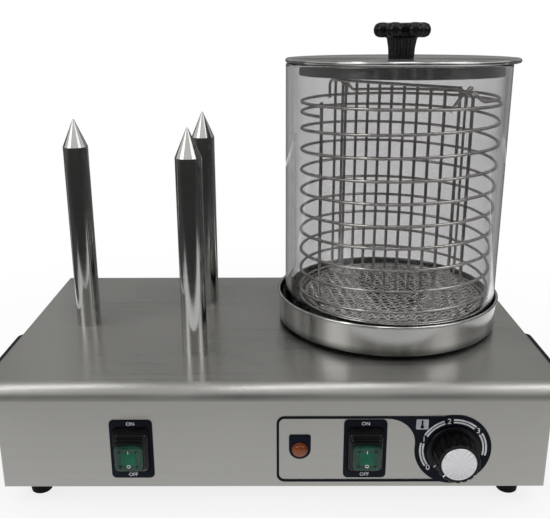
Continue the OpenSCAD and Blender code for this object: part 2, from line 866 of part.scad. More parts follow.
// Tubular heater bent to an open ring with two legs down to its terminals
module ring_heater() {
    color("dimgray") translate([tray_x, tray_y, plate_low_z]) {
        rotate(ring_open / 2) rotate_extrude(angle = 360 - ring_open, $fn = 96)
            translate([ring_r, 0]) circle(ring_tube / 2);
        for (turn = [-1, 1])
            rotate(turn * ring_leg_turn) translate([ring_r, 0, -ring_leg])
                cylinder(d = ring_leg_d, h = ring_leg);
    }
}
module safety_cutout() {
    site = [tray_x + cutout_site[0], tray_y + cutout_site[1], plate_low_z - cutout_h];
    color("black") translate(site) {
        cylinder(r = cutout_r, h = cutout_h);
        for (x = [-1, 1])
            translate([x * cutout_r / 2 - tab_t / 2, -tab_w / 2, -tab_h])
                cube([tab_t, tab_w, tab_h + tab_t]);
    }
}

// Thermostat behind the panel with its bush and blind bore for the shaft
module stat_screw_sites() {
    for (x = [-1, 1]) translate([dial_x + x * stat_screw_pitch / 2, 0, dial_z]) children();
}
module thermostat_body() {
    color("tan") difference() {
        union() {
            translate([dial_x - stat_w / 2, panel_back_y, dial_z - stat_w / 2])
                cube([stat_w, stat_d, stat_w]);
            rod_y(dial_x, panel_y - bush_out, dial_z, bush_r, bush_out + sheet + overcut);
        }
        rod_y(dial_x, panel_y - bush_out - overcut, dial_z, shaft_d / 2 + run_gap,
            bush_out + sheet + shaft_in + rest_gap + overcut);
        stat_screw_sites()
            rod_y(0, panel_back_y - overcut, 0, small_r + snug_gap, stat_thread + overcut);
    }
}
module thermostat_shaft() {
    color("silver") rod_y(dial_x, panel_y - knob_out + shaft_end, dial_z, shaft_d / 2,
        knob_out - shaft_end + sheet + shaft_in);
}
module thermostat_screws() {
    color("gray") stat_screw_sites() {
        rod_y(0, panel_y, 0, small_r, sheet + stat_thread - overcut);
        rod_y(0, panel_y - small_head_h / 2, 0, small_head_r, small_head_h / 2);
    }
}

// Fluted knob on a skirt, hollow over the bush, with a seat for its metal cap
module thermostat_knob() {
    grip_h = knob_out - knob_gap - skirt_t;
    grip_slope = atan((knob_back_r - knob_front_r) / grip_h);
    color("black") on_panel(dial_x, dial_z, knob_gap) difference() {
        union() {
            cylinder(d = dial_knob_d, h = skirt_t);
            translate([0, 0, skirt_t]) cylinder(r1 = knob_back_r, r2 = knob_front_r, h = grip_h);
        }
        for (k = [0:flute_n - 1])
            rotate(360 * k / flute_n) translate([knob_back_r, 0, skirt_t])
                rotate([0, -grip_slope, 0]) cylinder(r = flute_r, h = 2 * grip_h);
        translate([0, 0, -overcut]) cylinder(r = knob_well_r, h = skirt_t - skirt_wall + overcut);
        translate([0, 0, -overcut]) cylinder(r = bush_r + overcut, h = bush_out + 2 * overcut);
        cylinder(r = shaft_d / 2 + snug_gap, h = knob_out - knob_gap - shaft_end + hole_gap);
        translate([0, 0, knob_out - knob_gap - cap_t / 2]) cylinder(r = cap_r + snug_gap, h = cap_t);
    }
}
module knob_cap() {
    color("gainsboro") on_panel(dial_x, dial_z, knob_out - cap_t / 2) cylinder(r = cap_r, h = cap_t);
}

// Sensing bulb under the heater plate and its capillary to the thermostat
module thermostat_bulb() {
    start = [bulb_x, tray_y - bulb_l / 2 + capillary_r, bulb_z];
    finish = [dial_x, panel_back_y + stat_d, dial_z];
    drop = (bulb_z - dial_z) / 2;
    route = [
        for (k = [0:capillary_rings])
            bezier(start, start - [0, drop / 2, drop], finish + [0, drop, 0], finish, k / capillary_rings)
    ];
    color("peru") {
        rod_y(bulb_x, tray_y - bulb_l / 2, bulb_z, bulb_r, bulb_l);
        swept_tube(route, capillary_r, capillary_sides, [1, 0, 0]);
    }
}

// Printed frame line round the right-hand controls, one piece with the dial's disc
module dial_overlay() {
    height = 2 * frame_half;
    width = dial_x - frame_x;
    line_z = frame_high - frame_line / 2;
    color("midnightblue") on_panel(0, 0) linear_extrude(overlay_t) difference() {
        union() {
            translate([frame_x + width / 2, dial_z]) round_rect(width, height, frame_corner);
            translate([dial_x, dial_z]) circle(dial_r);
        }
        difference() {
            translate([frame_x + width / 2, dial_z])
                round_rect(width - 2 * frame_line, height - 2 * frame_line, frame_corner - frame_line);
            difference() {
                polygon([[flare_x, line_z], [dial_x, line_z], [dial_x, dial_z], [flare_x, flare_z]]);
                translate([flare_x, flare_z]) circle(flare_r - snug_gap);
            }
            translate([dial_x, dial_z]) circle(dial_r - snug_gap);
        }
        translate([dial_x, dial_z]) circle(bush_r + hole_gap);
        for (x = [-1, 1])
            translate([dial_x + x * stat_screw_pitch / 2, dial_z]) circle(small_head_r + hole_gap);
    }
}

// Black plates round the switches
module switch_plate(x) {
    color("black") on_panel(x, switch_z) linear_extrude(plate_t_front) difference() {
        round_rect(plate_w, plate_h, plate_corner);
        square([cell_w + 2 * hole_gap, cell_h + 2 * hole_gap], center = true);
    }
}
module left_switch_plate() {
    switch_plate(switch_left_x);
}
module right_switch_plate() {
    switch_plate(switch_right_x);
}

// Switch cell through the panel, with a pocket and bearings for its rocker
module switch_body(x) {
    color("dimgray") on_panel(x, switch_z) difference() {
        union() {
            translate([0, 0, -sheet - cell_d]) linear_extrude(sheet + cell_d + plate_t_front + cell_lip_t)
                square([cell_w, cell_h], center = true);
            translate([0, 0, plate_t_front]) linear_extrude(cell_lip_t)
                square([cell_w + 2 * cell_lip, cell_h + 2 * cell_lip], center = true);
        }
        translate([0, 0, plate_t_front - pocket_d]) linear_extrude(pocket_d + cell_lip_t + overcut)
            square([pocket_w, pocket_h], center = true);
        translate([-pocket_w / 2 - pin_l - hole_gap, 0, pivot_out]) rotate([0, 90, 0])
            cylinder(r = pin_r + run_gap, h = pocket_w + 2 * (pin_l + hole_gap));
    }
}
module left_switch_body() {
    switch_body(switch_left_x);
}
module right_switch_body() {
    switch_body(switch_right_x);
}

// Rocker with two sloping faces on a hub and two pins, resting at OFF
module rocker(x) {
    dish = rocker_h / 2 * tan(rocker_tilt);
    wing = rocker_face + dish / 2;
    edge = rocker_face + dish;
    half = rocker_h / 2;
    color("green") on_panel(x, switch_z, pivot_out) rotate([rocker_tilt, 0, 0]) rotate([0, -90, 0]) {
        translate([0, 0, -rocker_w / 2]) linear_extrude(rocker_w) {
            circle(rocker_hub_r);
            polygon([
                [0, -rocker_hub_r], [wing, -half], [edge, -half], [rocker_face, 0],
                [edge, half], [wing, half], [0, rocker_hub_r]
            ]);
        }
        translate([0, 0, -rocker_w / 2 - pin_l]) cylinder(r = pin_r, h = rocker_w + 2 * pin_l);
    }
}
module left_rocker() {
    rocker(switch_left_x);
}
module right_rocker() {
    rocker(switch_right_x);
}

// Tapered black hood over a switch, open behind and in front
module hood_block(wide, high, front, out) {
    hull() {
        linear_extrude(overlay_t) round_rect(wide, high, hood_corner, $fn = hood_sides);
        translate([0, 0, out - overlay_t]) linear_extrude(overlay_t)
            round_rect(front, front, hood_corner, $fn = hood_sides);
    }
}
module switch_hood(x) {
    in = 2 * hood_wall;
    color("black") on_panel(x, switch_z, plate_t_front) difference() {
        hood_block(hood_w, hood_h, hood_front, hood_out);
        translate([0, 0, -overlay_t])
            hood_block(hood_w - in, hood_h - in, window_front, hood_out + 3 * overlay_t);
    }
}
module left_switch_hood() {
    switch_hood(switch_left_x);
}
module right_switch_hood() {
    switch_hood(switch_right_x);
}

// Clear green cap that closes the hood's front
module switch_window(x) {
    outer = hood_front - hood_wall;
    color("seagreen", 0.5) on_panel(x, switch_z, plate_t_front + hood_out) difference() {
        linear_extrude(window_h) round_rect(outer, outer, hood_corner);
        translate([0, 0, -overcut]) linear_extrude(window_h - window_t + overcut)
            round_rect(outer - 2 * window_t, outer - 2 * window_t, hood_corner - window_t);
    }
}
module left_switch_window() {
    switch_window(switch_left_x);
}
module right_switch_window() {
    switch_window(switch_right_x);
}

// Lamp plate with a round lower end, an amber lens and its holder through the panel
module lamp_plate() {
    color("black") on_panel(lamp_x, lamp_z) linear_extrude(plate_t_front) difference() {
        union() {
            circle(lamp_plate_low);
            translate([-lamp_plate_w / 2, 0]) square([lamp_plate_w, lamp_plate_h - lamp_plate_low]);
        }
        circle(lamp_body_r + hole_gap);
    }
}
module pilot_lens() {
    color("darkorange") on_panel(lamp_x, lamp_z, plate_t_front) {
        cylinder(d = lens_d, h = lens_rim);
        intersection() {
            translate([0, 0, lens_rim + lens_dome_h - lens_dome_r]) sphere(lens_dome_r);
            translate([0, 0, lens_rim / 2]) cylinder(d = lens_d, h = lens_d);
        }
    }
}
module pilot_lamp_body() {
    color("dimgray") on_panel(lamp_x, lamp_z, -lamp_body_l) {
        cylinder(r = lamp_body_r, h = lamp_body_l + plate_t_front);
        translate([0, 0, lamp_body_l - sheet - nut_h]) cylinder(r = lamp_nut_r, h = nut_h, $fn = 6);
    }
}

// Terminal block on the floor pan
module terminal_block() {
    pitch = block[0] / block_ways;
    color("ivory") translate([block_site[0], block_site[1], pan_z]) difference() {
        translate([-block[0] / 2, -block[1] / 2, 0]) cube(block);
        for (k = [0:block_ways - 1])
            translate([(k - (block_ways - 1) / 2) * pitch, 0, block[2] / 2])
                cylinder(r = pitch / 4, h = block[2]);
    }
}

// Cable gland in the rear panel with its lock nut inside
module cable_gland() {
    dome_h = gland_out - gland_hex_h;
    color("black") translate([gland_x, rear_y, gland_z]) rotate([-90, 0, 0]) difference() {
        union() {
            cylinder(r = gland_hex_r, h = gland_hex_h, $fn = 6);
            cylinder(r = gland_dome_r, h = gland_hex_h + dome_h / 2);
            translate([0, 0, gland_hex_h + dome_h / 2])
                cylinder(r1 = gland_dome_r, r2 = gland_mouth_r, h = dome_h / 2);
            translate([0, 0, -gland_in - sheet]) cylinder(r = gland_body_r, h = gland_in + sheet + overcut);
        }
        translate([0, 0, -gland_in - sheet - overcut])
            cylinder(r = gland_bore_r, h = gland_out + gland_in + sheet + 2 * overcut);
    }
}
module gland_nut() {
    color("black") translate([gland_x, rear_in_y, gland_z]) rotate([90, 0, 0]) difference() {
        cylinder(r = gland_hex_r, h = nut_h, $fn = 6);
        translate([0, 0, -overcut]) cylinder(r = gland_body_r + snug_gap, h = nut_h + 2 * overcut);
    }
}

// Clear cylinder with bevelled ends that stands loose in the tray
module glass_cylinder() {
    outer = glass_d / 2;
    inner = outer - glass_wall;
    color("lightblue", 0.3) translate([glass_x, tray_y, glass_low_z]) rotate_extrude($fn = 96)
        polygon([
            [inner, 0], [outer - glass_edge, 0], [outer, glass_edge],
            [outer, glass_h - glass_edge], [outer - glass_edge, glass_h], [inner, glass_h]
        ]);
}

// Flat lid with a rolled edge and a skirt inside the glass
module lid() {
    edge_r = lid_d / 2 - lid_bead_r;
    skirt_up = lid_bead_r + lid_sheet / 2;
    color("lightgray") translate([lid_x, tray_y, lid_z]) rotate_extrude($fn = 96) {
        translate([lid_hole_r, lid_bead_r]) square([edge_r - lid_hole_r, lid_sheet]);
        translate([edge_r, lid_bead_r]) circle(lid_bead_r);
        translate([lid_skirt_r - lid_sheet, -lid_skirt_h]) square([lid_sheet, lid_skirt_h + skirt_up]);
    }
}

// Lobed black knob on a tapered neck
module lid_knob() {
    low = lid_bead_r + lid_sheet;
    neck_h = knob_h - knob_head_h - knob_dome_h;
    lobe_at = knob_head_d / 2 - knob_lobe_r;
    color("black") translate([lid_x, tray_y, lid_z + low]) difference() {
        union() {
            cylinder(r1 = knob_neck_low_r, r2 = knob_neck_high_r, h = neck_h);
            translate([0, 0, neck_h]) linear_extrude(knob_head_h) {
                circle(lobe_at);
                for (k = [0:knob_lobes - 1])
                    rotate(360 * k / knob_lobes) translate([lobe_at, 0]) circle(knob_lobe_r);
            }
            translate([0, 0, neck_h + knob_head_h])
                cylinder(r1 = lobe_at, r2 = knob_dome_r, h = knob_dome_h);
        }
        translate([0, 0, -overcut])
            cylinder(r = lid_screw_r + snug_gap, h = lid_screw_l + 2 * overcut);
    }
}
module lid_knob_screw() {
    color("gray") translate([lid_x, tray_y, lid_z + lid_bead_r]) {
        cylinder(r = lid_screw_r, h = lid_screw_l);
        translate([0, 0, -lid_screw_head_h]) cylinder(r = lid_screw_head_r, h = lid_screw_head_h);
    }
}

// Wound side of the basket, one unbroken wire
module basket_coil() {
    path = helix_points();
    echo(coil_least_gap = least_gap(path, coil_rings / 2, wire));
    color("silver") translate([basket_x, basket_y, 0])
        swept_tube(with_straight_ends(path, wire), wire_r, coil_sides, [0, 0, 1]);
}
module basket_rings() {
    color("silver") for (z = [ring_low_z, ring_high_z])
        translate([basket_x, basket_y, z]) rotate_extrude($fn = 96)
            translate([basket_r, 0]) circle(wire_r);
}

// Four upright wires that stand on the tray's floor, two of them hooked over at the top
module basket_struts() {
    top = ring_high_z + hook_h;
    color("silver") translate([basket_x, basket_y, 0]) for (k = [0:3]) rotate(strut_turns[k]) {
        hooked = k % 2 == 1;
        high = hooked ? top : ring_high_z + wire;
        translate([strut_r, 0, strut_low_z]) cylinder(r = wire_r, h = high - strut_low_z);
        if (hooked) translate([strut_r - hook_r, 0, top]) {
            rotate([90, 0, 0]) rotate_extrude(angle = 180) translate([hook_r, 0]) circle(wire_r);
            translate([-hook_r, 0, -hook_l]) cylinder(r = wire_r, h = hook_l);
        }
    }
}

// Folding handle that lies on the top ring, with an eye round each hook
module basket_handle() {
    color("silver") translate([basket_x, basket_y, 0]) rotate(strut_turn) {
        translate([0, 0, bail_z]) rotate(bail_cut - 90) rotate_extrude(angle = 180 - 2 * bail_cut)
            translate([bail_r, 0]) circle(wire_r);
        for (side = [-1, 1]) {
            foot = [bail_r * sin(bail_cut), side * bail_r * cos(bail_cut), bail_z];
            rod_between([eye_r, side * bail_axis_r, bail_axis_z], foot, bail_leg_r);
            translate([0, side * bail_axis_r, bail_axis_z]) rotate([90, 0, 0]) rotate_extrude()
                translate([eye_r, 0]) circle(wire_r);
        }
    }
}

// Upright grid that splits the basket, bent down at both ends of its top wire
module basket_divider() {
    span = divider_left + divider_right - 2 * divider_bend;
    low_l = divider_last - divider_first + 2 * wire;
    turned = [0, 0, divider_turn];
    color("silver") translate([basket_x, basket_y, 0]) rotate(turned) translate([0, -divider_off, 0]) {
        for (k = [0:divider_n - 1])
            translate([divider_first + k * divider_step, divider_lap, divider_low_z - wire_r])
                cylinder(r = wire_r, h = divider_high_z - divider_low_z + 2 * wire_r);
        rod_x(divider_first - wire, 0, divider_low_z, wire_r, low_l);
        rod_x(-divider_left + divider_bend, 0, divider_high_z, wire_r, span);
        for (end = [-divider_left, divider_right]) {
            bend_x = end - sign(end) * divider_bend;
            translate([bend_x, 0, divider_high_z - divider_bend]) rotate([90, 0, 0])
                rotate(end > 0 ? 0 : 90) rotate_extrude(angle = 90)
                    translate([divider_bend, 0]) circle(wire_r);
            translate([end, 0, divider_high_z - divider_end_l])
                cylinder(r = wire_r, h = divider_end_l - divider_bend);
        }
    }
}

// Flat diamond mesh floor with a plain rim
module basket_floor() {
    open_r = floor_r - floor_rim;
    half_w = (mesh_w - mesh_strand) / 2;
    half_d = half_w * mesh_d / mesh_w;
    rows = ceil(2 * open_r / mesh_d);
    color("silver") translate([basket_x, basket_y, ring_low_z - floor_t / 2])
        linear_extrude(floor_t) difference() {
            circle(floor_r, $fn = 96);
            for (j = [-rows:rows], i = [-rows:rows]) {
                middle = [(i + (abs(j) % 2) / 2) * mesh_w, j * mesh_d / 2];
                if (norm(middle) + half_w < open_r)
                    translate(middle) polygon([[half_w, 0], [0, half_d], [-half_w, 0], [0, -half_d]]);
            }
        }
}

top_cover();
left_side_panel();
right_side_panel();
front_panel();
rear_panel();
base_pan();
left_handle();
right_handle();
handle_screws();
base_screws();
rear_screws();
feet();
foot_screws();
spike_tube_left();
spike_tube_front();
spike_tube_rear();
spike_tip_left();
spike_tip_front();
spike_tip_rear();
spike_heaters();
spike_nuts();
steam_tray();
tray_seal();
tray_nuts();
heater_plate();
ring_heater();
safety_cutout();
thermostat_body();
thermostat_shaft();
thermostat_knob();
knob_cap();
thermostat_bulb();
thermostat_screws();
dial_overlay();
left_switch_plate();
right_switch_plate();
left_switch_body();
right_switch_body();
left_rocker();
right_rocker();
left_switch_hood();
right_switch_hood();
left_switch_window();
right_switch_window();
lamp_plate();
pilot_lens();
pilot_lamp_body();
terminal_block();
cable_gland();
gland_nut();
glass_cylinder();
lid();
lid_knob();
lid_knob_screw();
basket_coil();
basket_rings();
basket_struts();
basket_divider();
basket_floor();
basket_handle();
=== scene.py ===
"""Hot dog warmer: the fine pieces, the finishes and the stage, on the frame of the solid model."""

import json
import math

import bpy
from bpy.props import FloatProperty, FloatVectorProperty, IntProperty, PointerProperty
from bpy.types import Operator, Panel, PropertyGroup
from mathutils import Matrix, Vector


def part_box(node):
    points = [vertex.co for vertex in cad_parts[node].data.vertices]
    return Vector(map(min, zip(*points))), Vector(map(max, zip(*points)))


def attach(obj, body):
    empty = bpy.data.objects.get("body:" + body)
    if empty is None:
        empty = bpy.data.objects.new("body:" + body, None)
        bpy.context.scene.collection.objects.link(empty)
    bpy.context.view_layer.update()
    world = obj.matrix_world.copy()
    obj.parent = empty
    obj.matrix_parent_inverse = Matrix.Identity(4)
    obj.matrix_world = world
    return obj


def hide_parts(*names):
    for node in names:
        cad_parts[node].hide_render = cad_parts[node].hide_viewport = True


bl_info = {
    "name": "Hot dog warmer",
    "version": (1, 0, 0),
    "blender": (4, 5, 0),
    "location": "View3D > Sidebar > Warmer",
    "description": "Dresses a bun warmer with its steam basket, controls and finishes",
    "category": "Add Mesh",
}

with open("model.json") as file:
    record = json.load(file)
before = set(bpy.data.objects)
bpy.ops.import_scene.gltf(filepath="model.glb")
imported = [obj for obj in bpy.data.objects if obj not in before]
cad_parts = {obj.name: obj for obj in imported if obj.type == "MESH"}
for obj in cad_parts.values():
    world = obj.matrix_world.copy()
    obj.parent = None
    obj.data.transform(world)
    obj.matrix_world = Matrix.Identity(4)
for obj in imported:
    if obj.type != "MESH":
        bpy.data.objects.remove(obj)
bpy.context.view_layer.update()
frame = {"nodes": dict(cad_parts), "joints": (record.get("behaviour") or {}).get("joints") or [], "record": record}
JOINTS = {row["name"]: row for row in frame["joints"]}
SLOT_OF = {row["node"]: row["material_slot"] for row in frame["record"]["subparts"]}
MM = 0.001
UP = Vector((0, 0, 1))
OUT = Vector((0, -1, 0))


def colour(name, description, default):
    """A colour that a user may change."""
    return FloatVectorProperty(
        name=name, description=description, default=default, size=3, min=0, max=1, subtype="COLOR"
    )


def length(name, description, default):
    """A length that a user may change, given here in millimetres."""
    return FloatProperty(name=name, description=description, default=default * MM, min=0, unit="LENGTH")


def turning(name, description, default):
    """An angle that a user may change, given here in degrees."""
    return FloatProperty(name=name, description=description, default=math.radians(default), subtype="ANGLE")


def amount(name, description, default, least):
    """A number that a user may change."""
    return FloatProperty(name=name, description=description, default=default, min=least)


def count(name, description, default, least):
    """A whole number that a user may change."""
    return IntProperty(name=name, description=description, default=default, min=least)


class WarmerSizes(PropertyGroup):
    """Sizes of the fine pieces."""

    wire_radius: length("Wire radius", "Half the thickness of the basket's wire", 1.4)
    coil_turns: amount("Coil turns", "Turns of the basket's coil", 9.25, 1)
    coil_drop: length("Coil drop", "From the top ring down to the start of the coil", 9)
    coil_foot: length("Coil foot", "From the end of the coil down to the bottom ring", 3.8)
    coil_ease: amount("Coil ease", "Part of a turn over which the coil takes up its slope", 0.6, 0.1)
    coil_start: turning("Coil start", "Angle at which the coil starts", 212.6)
    divider_turn: turning("Divider turn", "Angle of the divider across the basket", -51)
    mesh_wire: length("Floor wire", "Radius of the wires woven into the basket's floor", 0.7)
    mesh_step: length("Floor step", "Distance between the wires of the floor", 5.6)
    rocker_rest: turning("Rocker rest", "Tilt of the switches at rest", 9)
    flutes: count("Flutes", "Flutes round the thermostat knob", 18, 6)
    neck_flutes: count("Neck flutes", "Flutes round the neck of the lid's knob", 22, 6)
    lobes: count("Lobes", "Lobes round the lid's knob", 6, 4)


class WarmerColours(PropertyGroup):
    """Colours of the finishes."""

    housing: colour("Housing", "Brushed stainless steel of the case", (0.42, 0.415, 0.392))
    polished: colour("Polished", "Polished steel of the spikes, tray and lid", (0.46, 0.458, 0.445))
    wire: colour("Wire", "Bright steel wire", (0.68, 0.665, 0.63))
    zinc: colour("Zinc", "Plated screws", (0.46, 0.46, 0.45))
    black: colour("Black", "Moulded black plastic", (0.004, 0.004, 0.005))
    navy: colour("Navy", "Printed overlay", (0.006, 0.008, 0.014))
    print_white: colour("Print white", "White lettering", (0.6, 0.61, 0.62))
    icon_grey: colour("Icon grey", "Pale plate behind the thermometer sign", (0.36, 0.38, 0.42))
    green: colour("Green", "Green plastic of the switches", (0.008, 0.16, 0.085))
    amber: colour("Amber", "Lens of the pilot lamp", (0.24, 0.05, 0.008))
    # The grey of the glass is deeper than real glass has: painted shade on whatever shows through it.
    glass: colour("Glass", "Tint of the glass cylinder", (0.72, 0.715, 0.72))


def deselect():
    """Leaves nothing selected."""
    for thing in bpy.context.selected_objects:
        thing.select_set(False)


def take(piece):
    """Makes a piece the only selected object."""
    deselect()
    piece.select_set(True)
    bpy.context.view_layer.objects.active = piece


def named(piece, name):
    """Gives a piece and its mesh a name."""
    piece.name = name
    piece.data.name = name
    return piece


def draw(name, points, closed=True):
    """A chain of edges extruded from point to point, left selected in edit mode."""
    deselect()
    bpy.ops.mesh.primitive_plane_add(size=MM, location=points[0])
    piece = named(bpy.context.object, name)
    bpy.ops.object.mode_set(mode="EDIT")
    bpy.ops.mesh.select_all(action="SELECT")
    bpy.ops.mesh.merge(type="CENTER")
    stops = [*points, points[0]] if closed else points
    for before, after in zip(stops, stops[1:]):
        bpy.ops.mesh.extrude_region_move(TRANSFORM_OT_translate={"value": after - before})
    bpy.ops.mesh.select_all(action="SELECT")
    bpy.ops.mesh.remove_doubles(threshold=1e-6)
    return piece


def outline(name, points):
    """A flat face drawn round a closed line, left selected in edit mode."""
    piece = draw(name, points)
    bpy.ops.mesh.edge_face_add()
    return piece


def push(step, scale=None, centre=None):
    """Extrudes the selected face by a step and may scale its end about a centre."""
    bpy.ops.mesh.extrude_region_move(TRANSFORM_OT_translate={"value": step})
    if scale:
        bpy.ops.transform.resize(value=scale, center_override=centre)


def clean():
    """Merges doubles and turns all faces outwards, then leaves edit mode."""
    bpy.ops.mesh.select_all(action="SELECT")
    bpy.ops.mesh.remove_doubles(threshold=1e-6)
    bpy.ops.mesh.normals_make_consistent(inside=False)
    bpy.ops.object.mode_set(mode="OBJECT")


def slab(name, points, step):
    """A closed line filled and pushed out by a step."""
    piece = outline(name, points)
    push(step)
    clean()
    return piece


def open_back(piece):
    """Deletes the face from which a piece was pushed out to the front, and stays in edit mode."""
    bpy.ops.object.mode_set(mode="OBJECT")
    for face in piece.data.polygons:
        face.select = abs(face.normal.y) > 0.99 and abs(face.center.y) < 1e-6
    bpy.ops.object.mode_set(mode="EDIT")
    bpy.ops.mesh.delete(type="FACE")


def turned(name, points, centre, along=UP, steps=96, closed=True):
    """A round piece: (radius, distance) points drawn out and spun about an axis."""
    side = Vector((0, 1, 0)) if along.x else Vector((1, 0, 0))
    piece = draw(name, [centre + side * r + along * h for r, h in points], closed)
    bpy.ops.mesh.spin(steps=steps, angle=math.tau, center=centre, axis=along)
    clean()
    return piece


def modify(piece, kind, **settings):
    """Adds a modifier and applies it."""
    take(piece)
    bpy.ops.object.modifier_add(type=kind)
    modifier = piece.modifiers[-1]
    for key, value in settings.items():
        setattr(modifier, key, value)
    bpy.ops.object.modifier_apply(modifier=modifier.name)


def soften(piece, width, segments=3, angle=30):
    """Rounds the sharp edges."""
    modify(
        piece, "BEVEL", width=width, segments=segments, limit_method="ANGLE",
        angle_limit=math.radians(angle), miter_outer="MITER_ARC",
    )


def wire(name, paths, radius, sides=4, closed=False):
    """Round wires along lists of points, made a mesh."""
    line = bpy.data.curves.new(name, "CURVE")
    line.dimensions = "3D"
    line.bevel_depth = radius
    line.bevel_resolution = sides
    line.use_fill_caps = True
    for path in paths:
        run = line.splines.new("POLY")
        run.points.add(len(path) - 1)
        for spot, point in zip(run.points, path):
            spot.co = (*point, 1)
        run.use_cyclic_u = closed
    piece = bpy.data.objects.new(name, line)
    bpy.context.scene.collection.objects.link(piece)
    take(piece)
    bpy.ops.object.convert(target="MESH")
    return bpy.context.object


def words(name, text, place, size, depth):
    """Flat lettering that faces the front, made a mesh."""
    deselect()
    bpy.ops.object.text_add(location=place, rotation=(math.pi / 2, 0, 0))
    piece = bpy.context.object
    piece.name = name
    piece.data.body = text
    piece.data.size = size
    piece.data.align_x = "CENTER"
    piece.data.align_y = "CENTER"
    piece.data.extrude = depth
    piece.data.offset = 0.008 * size
    bpy.ops.object.convert(target="MESH")
    return bpy.context.object


def join(name, pieces):
    """Joins pieces into the first."""
    take(pieces[0])
    for piece in pieces[1:]:
        piece.select_set(True)
    bpy.ops.object.join()
    return named(pieces[0], name)


def copy_of(piece, shift):
    """A copy with its own mesh, moved."""
    take(piece)
    bpy.ops.object.duplicate()
    bpy.ops.transform.translate(value=shift)
    return bpy.context.object


def settle(piece, body, finish, node="", angle=32):
    """Puts a piece's place in its mesh, gives it its finish and lets it ride in a solid's stead."""
    take(piece)
    bpy.ops.object.transform_apply(location=True, rotation=True, scale=True)
    bpy.ops.object.shade_smooth_by_angle(angle=math.radians(angle))
    piece.data.materials.clear()
    piece.data.materials.append(bpy.data.materials[finish])
    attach(piece, body)
    if node:
        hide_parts(node)


def upright(node):
    """Foot of a solid's upright axis, and the size of its box."""
    low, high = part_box(node)
    return Vector(((low.x + high.x) / 2, (low.y + high.y) / 2, low.z)), high - low


def facing(node):
    """Middle of a solid's rear face, and the size of its box."""
    low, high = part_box(node)
    return Vector(((low.x + high.x) / 2, high.y, (low.z + high.z) / 2)), high - low


def mm(*pairs):
    """Pairs of millimetres, in metres."""
    return [(one * MM, other * MM) for one, other in pairs]


def arc(centre, radius, start, end, steps):
    """Pairs along an arc, angles in degrees."""
    angles = [math.radians(start + (end - start) * k / steps) for k in range(steps + 1)]
    return [(centre[0] + radius * math.cos(a), centre[1] + radius * math.sin(a)) for a in angles]


def ring(centre, radius, z, steps=96):
    """Points round an upright axis."""
    return [Vector((x, y, z)) for x, y in arc(centre, radius, 0, 360, steps)[:-1]]


def fluted(radius, deep, flutes, sharp=1.0):
    """Pairs round a circle with flutes cut in, eight steps to a flute."""
    pairs = []
    for k in range(flutes * 8):
        r = radius - deep * max(0.0, math.cos(math.tau * k / 8)) ** sharp
        angle = math.tau * k / (flutes * 8)
        pairs.append((r * math.cos(angle), r * math.sin(angle)))
    return pairs


def rounded(wide, high, corner, steps=6):
    """Pairs round a rectangle with round corners, about nought."""
    x, y = wide / 2 - corner, high / 2 - corner
    return (
        arc((x, y), corner, 0, 90, steps) + arc((-x, y), corner, 90, 180, steps)
        + arc((-x, -y), corner, 180, 270, steps) + arc((x, -y), corner, 270, 360, steps)
    )


def on_front(centre, pairs, out=0.0):
    """Points on a plane that faces the front, at a distance out of a centre."""
    return [centre + Vector((x, -out, z)) for x, z in pairs]


class Nodes:
    """A node tree and short ways to add to it."""

    def __init__(self, tree):
        self.tree = tree

    def add(self, kind, **values):
        """A node, with its settings and input values."""
        node = self.tree.nodes.new(kind)
        for key, value in values.items():
            if hasattr(node, key):
                setattr(node, key, value)
            else:
                node.inputs[key.replace("_", " ")].default_value = value
        return node

    def link(self, source, target):
        """Joins an output to an input."""
        self.tree.links.new(source, target)

    def spread(self, value, low, high, start=0.3, end=0.7):
        """A value mapped to a range of numbers."""
        node = self.add("ShaderNodeMapRange", From_Min=start, From_Max=end, To_Min=low, To_Max=high)
        self.link(value, node.inputs["Value"])
        return node.outputs["Result"]

    def combine(self, operation, one, other):
        """Two values made one, such as their product or the larger."""
        node = self.add("ShaderNodeMath", operation=operation)
        self.link(one, node.inputs[0])
        self.link(other, node.inputs[1])
        return node.outputs[0]

    def seen(self):
        """One where a ray comes from the camera, a reflection or through glass."""
        path = self.add("ShaderNodeLightPath").outputs
        near = self.combine("MAXIMUM", path["Is Camera Ray"], path["Is Glossy Ray"])
        return self.combine("MAXIMUM", near, path["Is Transmission Ray"])


